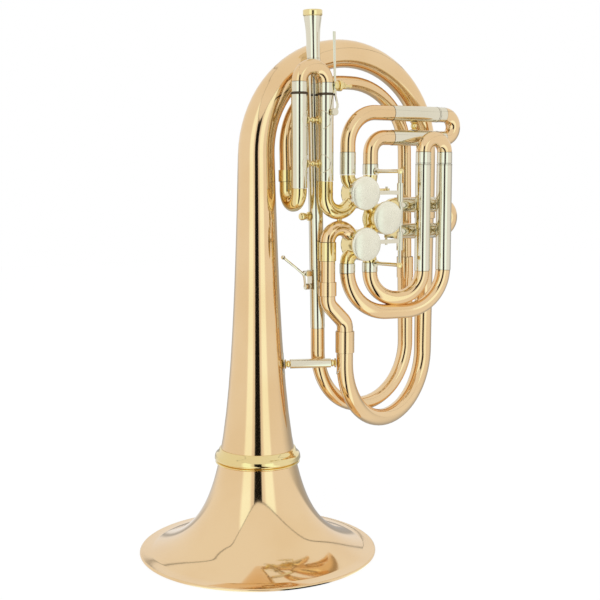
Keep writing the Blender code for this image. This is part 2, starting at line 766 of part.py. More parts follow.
def tuning_slide():
    mouths = [(x, VALVE_Y, TUNING_MOUTH_Z) for x in (TUNING_LEFT_X, TUNING_RIGHT_X)]
    moving_slide("tuning_slide", mouths, (0, 0, 1), TUNING_SLEEVE, TUNING_LEG)
    tubes = []
    for mouth, foot in zip(mouths, (TUNING_LEFT_FOOT_Z, TUNING_RIGHT_FOOT_Z)):
        length = TUNING_MOUTH_Z - foot
        profile = [
            (SLIDE_RADIUS + 0.0006, 0.0),
            (SLIDE_RADIUS + 0.0006, -MOUTH_RING),
            (SLIDE_RADIUS, -MOUTH_RING - EDGE),
            (SLIDE_RADIUS, -length),
            (SLIDE_BORE, -length),
            (SLIDE_BORE, 0.0),
        ]
        tubes.append(as_mesh(turned("outer", profile, mouth, None, steps=12)))
    inside = SLIDE_RADIUS - SLIDE_WALL * 0.7
    for height in TUNING_STAYS:
        start = (TUNING_LEFT_X + inside, VALVE_Y, height)
        end = (TUNING_RIGHT_X - inside, VALVE_Y, height)
        tubes.append(as_mesh(stay(start, end, 0.0024, 0.0040, 8)))
    tubes.append(nipple((KEY_PAD_X, pad_surface(), KEY_PAD_Z), (0, -1, 0)))
    return fused("tuning_slide_tubes", tubes, NICKEL)


def inlet_bend():
    """From the tuning slide down and up into the first valve's lower left port."""
    port = port_point(0, 225, KNUCKLE_REACH)
    corner = port_point(0, 225, (VALVE_X - TUNING_RIGHT_X) * math.sqrt(2))
    top = (TUNING_RIGHT_X, VALVE_Y, TUNING_RIGHT_FOOT_Z - GAP)
    path = rounded([top, corner, port], (INLET_BEND_RADIUS,))
    return tube("inlet_bend", path, VALVE_TUBE_RADIUS, YELLOW_BRASS)


def outlet_tube():
    """From the third valve's upper left port over and down to the main run."""
    port = port_point(2, 135, KNUCKLE_REACH)
    corner = port_point(2, 135, (VALVE_X - DOWN_X) * math.sqrt(2))
    foot = (DOWN_X, VALVE_Y, DOWN_SLEEVE_TOP_Z - INSERT)
    path = rounded([port, corner, foot], (OUTLET_BEND_RADIUS,))
    total = path_length(path)
    high = total - (DOWN_FERRULE_TOP_Z - foot[2])
    band = (high, high + DOWN_FERRULE_TOP_Z - DOWN_FERRULE_FOOT_Z, VALVE_TUBE_RADIUS + 0.0008)
    return banded_tube("outlet_tube", path, VALVE_TUBE_RADIUS, [band], GOLD_BRASS)


# Valves

VALVE_CENTRES = (
    Vector((VALVE_X, VALVE_Y, VALVE_Z + VALVE_PITCH)),
    Vector((VALVE_X + VALVE_PITCH, VALVE_Y, VALVE_Z)),
    Vector((VALVE_X, VALVE_Y, VALVE_Z - VALVE_PITCH)),
)
KNUCKLE_REACH = CASING_RADIUS + 0.0015
AXIS_IN = Vector((0, 1, 0))


def port_point(valve, degrees, distance):
    angle = math.radians(degrees)
    return VALVE_CENTRES[valve] + Vector((math.cos(angle), 0, math.sin(angle))) * distance


def knuckle_path(valve, degrees, way, extra=0.0):
    """From inside the casing wall along a port and round to the slide leg that runs the given way."""
    way = Vector(way)
    corner = port_point(valve, degrees, LEG_OFFSET * math.sqrt(2))
    start = port_point(valve, degrees, CASING_RADIUS - 0.004 - extra)
    end = corner + way * (KNUCKLE_END - LEG_OFFSET + extra)
    return rounded([start, corner, end], (KNUCKLE_RADIUS,))


def casing_ports(valve):
    """Each port's angle, with the way its leg runs, or the number of the valve that it joins, or none."""
    up = (0, 0, 1)
    down = (0, 0, -1)
    right = (1, 0, 0)
    ports = (
        ((135, up), (45, up), (225, None)),
        ((45, right), (315, right), (135, 0), (225, 2)),
        ((225, down), (315, down), (135, None)),
    )
    return ports[valve]


def valve_casing(valve):
    """A casing bored for its rotor, with the knuckles of its four ports and a wall at the front."""
    centre = VALVE_CENTRES[valve]
    front = -CASING_HALF - STOP_PLATE
    shell = [
        (0.0, CASING_HALF),
        (CASING_RADIUS, CASING_HALF),
        (CASING_RADIUS, -CASING_HALF),
        (STOP_PLATE_RADIUS, -CASING_HALF),
        (STOP_PLATE_RADIUS, front),
        (0.0, front),
    ]
    casing = solid_turn(shell, centre, AXIS_IN, CASING_SIDES)
    stubs = []
    bores = []
    bore_radius = VALVE_TUBE_RADIUS - TUBE_WALL
    for degrees, way in casing_ports(valve):
        if isinstance(way, tuple):
            stubs.append(solid_rod(knuckle_path(valve, degrees, way), VALVE_TUBE_RADIUS))
            bores.append(solid_rod(knuckle_path(valve, degrees, way, 0.003), bore_radius, 8))
            continue
        reach = KNUCKLE_REACH - GAP
        if way is not None:
            reach = (VALVE_CENTRES[way] - centre).length - CASING_RADIUS + 0.002
        start = port_point(valve, degrees, CASING_RADIUS - 0.004)
        stubs.append(solid_rod([start, port_point(valve, degrees, reach)], VALVE_TUBE_RADIUS))
        start = port_point(valve, degrees, CASING_RADIUS - 0.007)
        bores.append(solid_rod([start, port_point(valve, degrees, reach + 0.003)], bore_radius, 8))
    if valve != 1:
        degrees = 315 if valve == 0 else 45
        ends = [port_point(valve, degrees, CASING_RADIUS + step) for step in (-0.007, 0.003)]
        bores.append(solid_rod(ends, bore_radius, 8))
    else:
        for neighbour in (0, 2):
            clear = disc(CASING_RADIUS + GAP, -CASING_HALF, CASING_HALF)
            bores.append(solid_turn(clear, VALVE_CENTRES[neighbour], AXIS_IN, CASING_SIDES))
    chamber = disc(CASING_RADIUS - CASING_WALL, -CASING_HALF + 0.0028, CASING_HALF + 0.001)
    bores.append(solid_turn(chamber, centre, AXIS_IN, CASING_SIDES))
    hole = disc(SPINDLE_RADIUS + 0.0004, front - 0.001, 0.0)
    bores.append(solid_turn(hole, centre, AXIS_IN, 12))
    return fused(f"valve_casing_{valve + 1}", [casing, *stubs], YELLOW_BRASS, bores, "MANIFOLD")


REST_SIDES = (90, 180, 90)


def rotor(valve):
    """A rotor on its spindles, with two passages that each join neighbouring ports."""
    profile = [
        (0.0, CASING_HALF - 0.0006),
        (SPINDLE_RADIUS, CASING_HALF - 0.0006),
        (SPINDLE_RADIUS, ROTOR_HALF),
        (ROTOR_RADIUS, ROTOR_HALF),
        (ROTOR_RADIUS, -ROTOR_HALF),
        (SPINDLE_RADIUS, -ROTOR_HALF),
        (SPINDLE_RADIUS, CRANK_BACK + GAP),
        (SPINDLE_END_RADIUS, CRANK_BACK + GAP),
        (SPINDLE_END_RADIUS, CRANK_FRONT + 0.0006 + GAP),
        (0.0, CRANK_FRONT + 0.0006 + GAP),
    ]
    body = solid_turn(profile, VALVE_CENTRES[valve], AXIS_IN, CASING_SIDES)
    passages = []
    for side in (REST_SIDES[valve], REST_SIDES[valve] + 180):
        ends = [port_point(valve, side + turn, ROTOR_RADIUS * 1.25) for turn in (45, -45)]
        path = rounded([ends[0], VALVE_CENTRES[valve], ends[1]], (ROTOR_RADIUS,))
        passages.append(solid_rod(path, PASSAGE_RADIUS, 8))
    return fused(f"rotor_{valve + 1}", [body], NICKEL, passages)


def valve_cap(valve):
    """The screw cap on the back of a casing with the rear bearing plate that it carries."""
    back = CASING_HALF + GAP
    plate = CASING_RADIUS - CASING_WALL - GAP
    bore = SPINDLE_RADIUS + 0.0004
    profile = [
        (0.0, back + 0.0060),
        (0.0050, back + 0.0060),
        (0.0058, back + 0.0050),
        (0.0062, back + 0.0024),
        (0.0118, back + 0.0018),
        (CASING_RADIUS, back + 0.0008),
        (CASING_RADIUS, back),
        (plate, back),
        (plate, ROTOR_HALF + GAP),
        (bore, ROTOR_HALF + GAP),
        (bore, CASING_HALF),
        (0.0, CASING_HALF),
    ]
    name = f"valve_cap_{valve + 1}"
    return turned(name, profile, VALVE_CENTRES[valve], YELLOW_BRASS, AXIS_IN, CAP_SIDES, False)


STOP_RADIUS = 0.0082
CORK_RADIUS = 0.0019
HOLDER_RADIUS = 0.0008
STOP_START = -17
STOP_END = 197


def stop_corks(valve):
    """A curved holder on the stop plate with a cork at each end of the crank's quarter turn."""
    depth = VALVE_Y - CASING_HALF - STOP_PLATE - GAP
    points = []
    for index in range(8):
        place = port_point(valve, STOP_START + (STOP_END - STOP_START) * index / 7, STOP_RADIUS)
        place.y = depth - HOLDER_RADIUS
        points.append(place)
    holder = solid_rod(points, HOLDER_RADIUS, 6)
    corks = []
    for place in (points[0], points[-1]):
        spot = (place.x, depth, place.z)
        corks.append(solid_turn(disc(CORK_RADIUS, -0.0036, 0.0), spot, AXIS_IN, 8))
    return fused(f"stop_corks_{valve + 1}", [corks[0], holder, corks[1]], CORK)


CRANK_BACK = -CASING_HALF - STOP_PLATE - 0.0006
CRANK_FRONT = CRANK_BACK - 0.0020


def crank(valve):
    """The stop arm on the spindle: a disc with the link's pin and a tail that swings between corks."""
    centre = VALVE_CENTRES[valve]
    hub = solid_turn(disc(0.0060, CRANK_FRONT, CRANK_BACK), centre, AXIS_IN, 12)
    pin_place = port_point(valve, 135, CRANK_RADIUS)
    pin = solid_turn(disc(PIN_RADIUS, CRANK_FRONT - 0.0050, CRANK_BACK - 0.0006), pin_place, AXIS_IN, 8)
    depth = Vector((0, (CRANK_FRONT + CRANK_BACK) / 2, 0))
    start = port_point(valve, 315, 0.0040) + depth
    end = port_point(valve, 315, STOP_RADIUS + 0.0018) + depth
    tail = bar(start, end, 0.0026, CRANK_BACK - CRANK_FRONT - 0.0002, up=(1, 0, 1))
    bore = disc(SPINDLE_END_RADIUS + GAP, CRANK_FRONT + 0.0006, CRANK_BACK + 0.001)
    hole = solid_turn(bore, centre, AXIS_IN, 8)
    low = CRANK_FRONT - 0.0012
    screw = [(0.0, CRANK_FRONT + 0.0003), (0.0024, CRANK_FRONT + 0.0003), (0.0020, low), (0.0, low)]
    head = solid_turn(screw, centre, AXIS_IN, 8)
    return fused(f"crank_{valve + 1}", [hub, pin, tail, head], YELLOW_BRASS, [hole])


# Levers and their hinge

ARM_X = HINGE_X - ARM_LENGTH * math.sin(LEVER_SWING / 2)
ARM_Y = HINGE_Y + ARM_LENGTH * math.cos(LEVER_SWING / 2)
ARM_LEVELS = (
    VALVE_CENTRES[0].z + CRANK_RADIUS * math.sqrt(0.5) - 0.0032,
    VALVE_CENTRES[1].z + CRANK_RADIUS * math.sqrt(0.5) + 0.0070,
    VALVE_CENTRES[2].z + CRANK_RADIUS * math.sqrt(0.5) + 0.0047,
)
EYE_LEVELS = (ARM_LEVELS[0] + 0.0032, ARM_LEVELS[1] - 0.0036, ARM_LEVELS[2] - 0.0047)
BARREL_RISE = (0.0, 0.0012, 0.0)
EYE_BORE = PIN_RADIUS + 0.0006
EYE_HEIGHT = 0.0020


def lever(valve):
    """A finger lever: hinge barrel, bar, touch cup, and the short arm with the link's upright pin."""
    level = TOUCH_Z[valve]
    barrel_z = level + BARREL_RISE[valve]
    profile = disc(BARREL_RADIUS, -BARREL_LENGTH / 2, BARREL_LENGTH / 2)
    barrel = solid_turn(profile, (HINGE_X, HINGE_Y, barrel_z), steps=12)
    cup_back = TOUCH_FRONT_Y + 0.0050
    start = (HINGE_X - 0.0015, HINGE_Y - 0.0010, level)
    end = (TOUCH_X[valve], cup_back + 0.0002, level)
    finger = bar(start, end, BAR_WIDTH, BAR_THICKNESS)
    arm_start = (HINGE_X - 0.0003, HINGE_Y + 0.0015, ARM_LEVELS[valve])
    arm = bar(arm_start, (ARM_X, ARM_Y + 0.0014, ARM_LEVELS[valve]), 0.0020, 0.0026)
    reach = EYE_LEVELS[valve] - ARM_LEVELS[valve]
    reach += math.copysign(EYE_HEIGHT + 0.0006, reach)
    foot = Vector((ARM_X, ARM_Y, ARM_LEVELS[valve]))
    pin = solid_rod([foot, foot + Vector((0, 0, reach))], PIN_RADIUS, 10)
    cup_profile = [
        (0.0, 0.0),
        (TOUCH_RADIUS, 0.0),
        (TOUCH_RADIUS, 0.0030),
        (TOUCH_RADIUS - 0.0006, 0.0030),
        (TOUCH_RADIUS - 0.0006, 0.0014),
        (0.0, 0.0014),
    ]
    centre = (TOUCH_X[valve], cup_back, level)
    cup = solid_turn(cup_profile[::-1], centre, (0, -1, 0), CAP_SIDES)
    bore = disc(HINGE_ROD_RADIUS + 0.0004, -BARREL_LENGTH, BARREL_LENGTH)
    hole = solid_turn(bore, (HINGE_X, HINGE_Y, barrel_z), steps=12)
    return fused(f"lever_{valve + 1}", [barrel, finger, arm, pin, cup], NICKEL, [hole])


def touch_piece(valve):
    """The domed pearl disc that sits in the lever's cup."""
    radius = TOUCH_RADIUS - 0.0006 - GAP
    profile = [
        (0.0, 0.0048),
        (radius * 0.65, 0.0043),
        (radius, 0.0028),
        (radius, 0.0014 + GAP),
        (0.0, 0.0014 + GAP),
    ]
    place = (TOUCH_X[valve], TOUCH_FRONT_Y + 0.0050, TOUCH_Z[valve])
    return turned(f"touch_piece_{valve + 1}", profile, place, PEARL, (0, -1, 0), CAP_SIDES, closed=False)


def link(valve):
    """The link from a lever's upright pin to the crank: an eye at each end of a thin rod."""
    crank_pin = port_point(valve, 135, CRANK_RADIUS)
    crank_pin.y = ARM_Y
    arm_pin = Vector((ARM_X, ARM_Y, EYE_LEVELS[valve]))
    outer = EYE_BORE + EYE_WALL
    upright = solid_turn(disc(outer, -EYE_HEIGHT / 2, EYE_HEIGHT / 2), arm_pin, steps=12)
    level = solid_turn(disc(outer, -EYE_HEIGHT / 2, EYE_HEIGHT / 2), crank_pin, AXIS_IN, 12)
    along = (arm_pin - crank_pin).normalized()
    inset = EYE_BORE + EYE_WALL * 0.6
    rod = solid_rod([crank_pin + along * inset, arm_pin - along * inset], LINK_RADIUS * 1.1, 8)
    holes = [
        solid_turn(disc(EYE_BORE, -0.004, 0.004), arm_pin, steps=12),
        solid_turn(disc(EYE_BORE, -0.004, 0.004), crank_pin, AXIS_IN, 12),
    ]
    return fused(f"link_{valve + 1}", [level, upright, rod], NICKEL, holes)


def lever_hinge():
    """The levers' hinge rod between two balls, on stays from the valve slides' ferrules."""
    rod = solid_rod([(HINGE_X, HINGE_Y, HINGE_FOOT_Z), (HINGE_X, HINGE_Y, HINGE_TOP_Z)], HINGE_ROD_RADIUS, 10)
    pieces = [rod]
    for height in (HINGE_TOP_Z, HINGE_FOOT_Z):
        leg = Vector((leg_x(1), VALVE_Y, height))
        knob = Vector((HINGE_X, HINGE_Y, height))
        along = (knob - leg).normalized()
        foot = leg + along * (SLIDE_RADIUS + GAP + 0.0002)
        pieces.append(ball(0.0028, knob))
        pieces.append(solid_rod([foot + along * 0.0006, knob], 0.0017, 10))
        pieces.append(solid_turn(disc(0.0031, 0.0, 0.0012), foot, along, 12))
    return fused("lever_hinge", pieces, NICKEL)


# Valve slides


def leg_x(side):
    return VALVE_X + side * LEG_OFFSET


def slide1():
    """The first valve's tubing: up from its two upper ports and to the right, then the slide."""
    base = VALVE_CENTRES[0].z + KNUCKLE_END + GAP
    heights = (SLIDE1_TOP_Z, SLIDE1_TOP_Z - 2 * LEG_OFFSET)
    length = SLIDE1_MOUTH_X - SLIDE1_START_X
    rows = (
        ("slide1_upper_tube", -1, heights[0], SLIDE1_OUTER_BEND, SLIDE1_FERRULE_LEFT_Z - base),
        ("slide1_lower_tube", 1, heights[1], SLIDE1_INNER_BEND, SLIDE1_FERRULE_RIGHT_Z - base),
    )
    for name, side, height, bend, ferrule in rows:
        x = leg_x(side)
        corners = [(x, VALVE_Y, base), (x, VALVE_Y, height), (SLIDE1_MOUTH_X, VALVE_Y, height)]
        fixed_tube(name, corners, (bend,), ferrule, length)
    mouths = [(SLIDE1_MOUTH_X, VALVE_Y, height) for height in heights]
    moving_slide("slide1", mouths, (1, 0, 0), SLIDE1_SLEEVE, SLIDE1_LEG)
    start = (SLIDE1_BRACE_X, VALVE_Y, heights[0] - SLIDE_RADIUS - GAP)
    end = (SLIDE1_BRACE_X, VALVE_Y, heights[1] + SLIDE_RADIUS + GAP)
    brace = stay(start, end, 0.0030, 0.0038, 10)
    brace.name = "slide1_brace"


def slide2():
    """The second valve's tubing: straight to the right."""
    base = VALVE_CENTRES[1].x + KNUCKLE_END + GAP
    heights = (VALVE_Z + LEG_OFFSET, VALVE_Z - LEG_OFFSET)
    for name, height in zip(("slide2_upper_tube", "slide2_lower_tube"), heights):
        corners = [(base, VALVE_Y, height), (SLIDE2_MOUTH_X, VALVE_Y, height)]
        fixed_tube(name, corners, (), 0, SLIDE2_MOUTH_X - base, NICKEL)
    mouths = [(SLIDE2_MOUTH_X, VALVE_Y, height) for height in heights]
    moving_slide("slide2", mouths, (1, 0, 0), SLIDE2_SLEEVE, SLIDE2_LEG)


def slide3():
    """The third valve's tubing: down, round in two nested loops, and up the right side to the slide."""
    base = VALVE_CENTRES[2].z - KNUCKLE_END - GAP
    inner_x = SLIDE3_OUTER_X - SLIDE3_PITCH
    bend = math.hypot(inner_x - leg_x(1), FRONT_LEG_Y - VALVE_Y) / 2
    rows = (
        ("slide3_outer_loop", leg_x(-1), SLIDE3_OUTER_X, SLIDE3_BOTTOM_Z, SLIDE3_OUTER_BEND),
        ("slide3_inner_loop", leg_x(1), inner_x, SLIDE3_FERRULE_Z - bend, bend * 0.999),
    )
    for name, left, right, bottom, radius in rows:
        corners = [
            (left, VALVE_Y, base),
            (left, VALVE_Y, bottom),
            (right, FRONT_LEG_Y, bottom),
            (right, FRONT_LEG_Y, SLIDE3_MOUTH_Z),
        ]
        length = SLIDE3_MOUTH_Z - SLIDE3_FERRULE_Z
        fixed_tube(name, corners, (radius, radius), base - SLIDE3_FERRULE_Z, length)
    mouths = [(x, FRONT_LEG_Y, SLIDE3_MOUTH_Z) for x in (inner_x, SLIDE3_OUTER_X)]
    moving_slide("slide3", mouths, (0, 0, 1), SLIDE3_SLEEVE, SLIDE3_LEG)


# Water keys, braces and small fittings


def key_post():
    """A bracket on the inner arc for the upper water key's pivot, with a collar beside the barrel."""
    back = Vector((KEY_POST_X, -LEAD_RADIUS - 0.0018, KEY_HINGE_Z))
    corner = Vector((KEY_POST_X, KEY_HINGE_Y, KEY_HINGE_Z))
    tip = Vector((KEY_ROD_X - 0.0010, KEY_HINGE_Y, KEY_HINGE_Z))
    foot = solid_turn(disc(0.0042, -0.0012, 0.0), back, AXIS_IN, 12)
    post = solid_rod([back, corner], 0.0018, 8)
    pivot = solid_rod([corner + Vector((0.0012, 0, 0)), tip], KEY_PIVOT_RADIUS, 8)
    beside = (KEY_BARREL_END_X + GAP, KEY_HINGE_Y, KEY_HINGE_Z)
    collar = solid_turn(disc(0.0030, 0.0, 0.0012), beside, (1, 0, 0), 12)
    return fused("water_key_post", [post, foot, pivot, collar], YELLOW_BRASS)


def pad_surface():
    """The depth of the tuning slide tube's front where the upper water key's hole stands."""
    return VALVE_Y - math.sqrt(SLIDE_RADIUS**2 - (KEY_PAD_X - TUNING_RIGHT_X) ** 2)


def upper_key():
    """The long water key: a barrel, a straight finger rod, and a curved tail that carries the cork."""
    start = KEY_ROD_X - 0.0010
    middle = ((start + KEY_BARREL_END_X) / 2, KEY_HINGE_Y, KEY_HINGE_Z)
    half = (KEY_BARREL_END_X - start) / 2
    barrel = solid_turn(disc(KEY_BARREL_RADIUS, -half, half), middle, (1, 0, 0), 12)
    hole = solid_turn(disc(KEY_PIVOT_RADIUS + 0.0004, -half - 0.001, half + 0.001), middle, (1, 0, 0), 10)
    pad = pad_surface() - NIPPLE_HEIGHT - CORK_DEPTH
    path = [
        (KEY_ROD_X, KEY_HINGE_Y, KEY_TOP_Z),
        (KEY_ROD_X, KEY_HINGE_Y - 0.0016, KEY_HINGE_Z),
        (KEY_ROD_X, KEY_HINGE_Y - 0.0026, KEY_HINGE_Z - 0.009),
        (KEY_PAD_X + 0.0035, pad - 0.0010, KEY_PAD_Z + 0.005),
        (KEY_PAD_X, pad - 0.0010, KEY_PAD_Z),
    ]
    rod = solid_rod(rounded(path, (0.02, 0.02, 0.006)), KEY_ROD_RADIUS, 8)
    cup = solid_turn(disc(0.0031, -0.0020, 0.0), (KEY_PAD_X, pad, KEY_PAD_Z), AXIS_IN, 12)
    return fused("water_key", [rod, barrel, cup], NICKEL, [hole])


def key_cork(name, place, axis, depth):
    return turned(name, disc(0.0026, GAP, depth - GAP), place, CORK, axis, 12, closed=False)


LOWER_KEY_Y = leadpipe_point(LOWER_KEY_Z).y
LYRE_Y = leadpipe_point(LYRE_Z).y


def lower_key_saddle():
    """A plate on the leadpipe with two ears for the lower water key's pivot and the rim of its hole."""
    surface = leadpipe_x(LOWER_KEY_Z) - LOWER_SIDE
    place = Vector((surface - 0.0042, LOWER_KEY_Y, LOWER_KEY_Z))
    pieces = []
    for side in (-1, 1):
        depth = LOWER_KEY_Y + side * 0.0032
        start = (surface - GAP - 0.0004, depth, LOWER_KEY_Z)
        pieces.append(bar(start, (place.x - 0.0018, depth, LOWER_KEY_Z), 0.0044, 0.0012))
    back = surface - GAP - 0.0004
    high = (back, LOWER_KEY_Y, LOWER_KEY_Z + 0.0030)
    low = (back, LOWER_KEY_Y, LOWER_KEY_Z - LOWER_PAD_DROP - 0.0030)
    plate = bar(high, low, 0.0008, 0.0078, up=(1, 0, 0))
    pin = solid_turn(disc(0.0008, -0.0036, 0.0036), place, AXIS_IN, 10)
    rim = nipple((surface - GAP, LOWER_KEY_Y, LOWER_KEY_Z - LOWER_PAD_DROP), (-1, 0, 0))
    pad = (surface, LOWER_KEY_Y, LOWER_KEY_Z - LOWER_PAD_DROP)
    hole = solid_turn(disc(0.0012, -0.001, 0.003), pad, (-1, 0, 0), 12)
    return fused("lower_key_saddle", [plate, *pieces, pin, rim], YELLOW_BRASS, [hole])


def lower_key():
    surface = leadpipe_x(LOWER_KEY_Z) - LOWER_SIDE
    place = Vector((surface - 0.0042, LOWER_KEY_Y, LOWER_KEY_Z))
    hub = solid_turn(disc(0.0021, -0.0020, 0.0020), place, AXIS_IN, 12)
    hole = solid_turn(disc(0.0012, -0.006, 0.006), place, AXIS_IN, 12)
    path = [
        (surface - 0.0053, LOWER_KEY_Y, LOWER_KEY_Z - LOWER_PAD_DROP),
        place + Vector((-0.0024, 0, -0.0010)),
        (0.0285, LOWER_KEY_Y, LOWER_KEY_Z + 0.0060),
        (0.0165, LOWER_KEY_Y, LOWER_KEY_Z + 0.0150),
    ]
    rod = solid_rod(rounded(path, (0.006, 0.03)), 0.0011, 8)
    knob = ball(0.0020, path[-1])
    cup_place = (surface - NIPPLE_HEIGHT - GAP - CORK_DEPTH, LOWER_KEY_Y, LOWER_KEY_Z - LOWER_PAD_DROP)
    cup = solid_turn(disc(0.0028, 0.0, 0.0018), cup_place, (-1, 0, 0), 12)
    return fused("lower_water_key", [rod, hub, knob, cup], NICKEL, [hole])


def key_corks():
    upper = (KEY_PAD_X, pad_surface() - NIPPLE_HEIGHT, KEY_PAD_Z)
    key_cork("water_key_cork", upper, (0, -1, 0), CORK_DEPTH)
    surface = leadpipe_x(LOWER_KEY_Z) - LOWER_SIDE - NIPPLE_HEIGHT - GAP
    lower = (surface, LOWER_KEY_Y, LOWER_KEY_Z - LOWER_PAD_DROP)
    key_cork("lower_key_cork", lower, (-1, 0, 0), CORK_DEPTH)


def lyre_screw():
    """A small thumb screw in its boss on the side of the leadpipe."""
    surface = leadpipe_x(LYRE_Z) - LOWER_SIDE - GAP - 0.0002
    place = (surface, LYRE_Y, LYRE_Z)
    boss = [(0.0, 0.0), (0.0040, 0.0), (0.0040, 0.0012), (0.0024, 0.0020), (0.0024, 0.0042), (0.0, 0.0042)]
    head = [
        (0.0, 0.0040),
        (0.0030, 0.0040),
        (0.0034, 0.0060),
        (0.0034, 0.0082),
        (0.0026, 0.0092),
        (0.0, 0.0092),
    ]
    pieces = [solid_turn(shape[::-1], place, (-1, 0, 0), 12) for shape in (boss, head)]
    return fused("lyre_screw", pieces, YELLOW_BRASS)


def bell_brace():
    """The stay between the bell stem and the main run: a tube with a turned ball and flange at each end."""
    near = Vector((math.cos(BRACE_ANGLE), math.sin(BRACE_ANGLE), 0)) * (bell_radius(BRACE_Z) + BRACE_GAP)
    half_angle = BRACE_ANGLE / 2
    side = Vector((-math.cos(half_angle), -math.sin(half_angle), 0)) * (BELL_TUBE_RADIUS + BRACE_GAP)
    far = Vector((MAIN_LEFT_X, VALVE_Y, 0)) + side
    along = (far - near).normalized()
    half = (far - near).length / 2
    knob = [
        (0.0, 0.0),
        (0.0040, 0.0),
        (0.0040, 0.0010),
        (0.0026, 0.0022),
        (0.0026, 0.0034),
        (0.0047, 0.0054),
        (0.0047, 0.0078),
        (BRACE_RADIUS, 0.0086),
    ]
    profile = [(radius, half - reach) for radius, reach in knob]
    profile += [(radius, reach - half) for radius, reach in reversed(knob)]
    middle = (near + far) / 2 + Vector((0, 0, BRACE_Z))
    return turned("bell_brace", profile, middle, YELLOW_BRASS, along, 12, closed=False)


def bend_stay():
    """The small stay between the inlet bend and the outlet bend."""
    slant = math.tan(math.radians(67.5)) - 1
    corner = port_point(0, 225, (VALVE_X - TUNING_RIGHT_X) * math.sqrt(2))
    top = corner.z + INLET_BEND_RADIUS * slant - VALVE_TUBE_RADIUS
    corner = port_point(2, 135, (VALVE_X - DOWN_X) * math.sqrt(2))
    low = corner.z - OUTLET_BEND_RADIUS * slant + VALVE_TUBE_RADIUS
    profile = [
        (0.0, top - GAP),
        (0.0022, top - GAP),
        (0.0016, (top + low) / 2),
        (0.0022, low + GAP),
        (0.0, low + GAP),
    ]
    place = (TUNING_RIGHT_X + INLET_BEND_RADIUS, VALVE_Y, 0)
    return turned("bend_stay", profile, place, GOLD_BRASS, steps=12, closed=False)


def casing_strut():
    """The strut between the first and third casings."""
    top = VALVE_CENTRES[0].z - CASING_RADIUS - GAP
    low = VALVE_CENTRES[2].z + CASING_RADIUS + GAP
    profile = [
        (0.0, top),
        (STRUT_FLANGE, top),
        (STRUT_FLANGE, top - 0.0014),
        (STRUT_RADIUS, top - 0.0022),
        (STRUT_RADIUS, low + 0.0022),
        (STRUT_FLANGE, low + 0.0014),
        (STRUT_FLANGE, low),
        (0.0, low),
    ]
    return turned("casing_strut", profile, (VALVE_X, VALVE_Y, 0), YELLOW_BRASS, steps=12, closed=False)


def build_all():
    bell_flare()
    bell_stem()
    bell_ring()
    main_bow()
    s_bend()
    outlet_tube()
    receiver()
    receiver_collar()
    leadpipe_sleeve()
    leadpipe_bow()
    inner_arc()
    return_bend()
    tuning_slide()
    inlet_bend()
    bend_stay()
    for valve in range(3):
        valve_casing(valve)
        rotor(valve)
        valve_cap(valve)
        stop_corks(valve)
        crank(valve)
        lever(valve)
        touch_piece(valve)
        link(valve)
    lever_hinge()
    slide1()
    slide2()
    slide3()
    key_post()
    upper_key()
    lower_key_saddle()
    lower_key()
    key_corks()
    lyre_screw()
    bell_brace()
    casing_strut()


def centre_on_floor():
    """Parents every part to one empty and moves it, so that the footprint is centred on the origin."""
    bpy.context.view_layer.update()
    graph = bpy.context.evaluated_depsgraph_get()
    low = Vector((1.0, 1.0, 1.0))
    high = -low
    for part in PARTS.objects:
        solid = part.evaluated_get(graph)
        mesh = solid.to_mesh()
        for vertex in mesh.vertices:
            place = solid.matrix_world @ vertex.co
            low = Vector(map(min, low, place))
            high = Vector(map(max, high, place))
        solid.to_mesh_clear()
    root = bpy.data.objects.new("root", None)
    for made in list(PARTS.objects) + list(CUTTERS.objects):
        made.parent = root
    PARTS.objects.link(root)
    root.location = (-(low.x + high.x) / 2, -(low.y + high.y) / 2, -low.z)


build_all()
centre_on_floor()
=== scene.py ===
"""The bass trumpet's visible pieces, its finishes and its studio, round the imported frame."""

import json
import math

import bmesh
import bpy
from bpy.props import FloatProperty, FloatVectorProperty, IntProperty, PointerProperty
from mathutils import Matrix, Vector


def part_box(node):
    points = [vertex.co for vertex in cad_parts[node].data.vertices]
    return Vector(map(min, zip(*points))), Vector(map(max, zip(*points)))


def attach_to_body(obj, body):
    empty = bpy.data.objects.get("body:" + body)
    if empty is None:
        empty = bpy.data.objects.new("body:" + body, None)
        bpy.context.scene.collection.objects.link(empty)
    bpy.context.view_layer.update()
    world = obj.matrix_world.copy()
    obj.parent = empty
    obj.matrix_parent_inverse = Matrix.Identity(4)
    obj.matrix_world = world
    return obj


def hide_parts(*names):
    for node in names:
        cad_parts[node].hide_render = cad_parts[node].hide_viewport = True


bl_info = {
    "name": "Bass Trumpet",
    "version": (1, 0, 0),
    "blender": (4, 5, 0),
    "location": "3D View > Sidebar > Bass Trumpet",
    "description": "Dresses a rotary-valve bass trumpet in smooth tubes, lacquer and nickel",
    "category": "Add Mesh",
}

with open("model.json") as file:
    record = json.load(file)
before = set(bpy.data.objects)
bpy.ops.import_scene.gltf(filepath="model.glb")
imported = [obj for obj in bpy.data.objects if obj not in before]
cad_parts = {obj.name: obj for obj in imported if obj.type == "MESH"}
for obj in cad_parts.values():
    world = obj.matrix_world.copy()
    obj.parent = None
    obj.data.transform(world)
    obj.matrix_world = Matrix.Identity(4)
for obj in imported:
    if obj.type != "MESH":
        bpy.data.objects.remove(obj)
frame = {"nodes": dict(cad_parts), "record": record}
FLARE_LOW, FLARE_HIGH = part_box("bell_flare")
BELL_AXIS = Vector(((FLARE_LOW.x + FLARE_HIGH.x) / 2, (FLARE_LOW.y + FLARE_HIGH.y) / 2, 0.0))
BODY_OF = {
    node: body for body, nodes in frame["record"]["behaviour"]["bodies"].items() for node in nodes
}

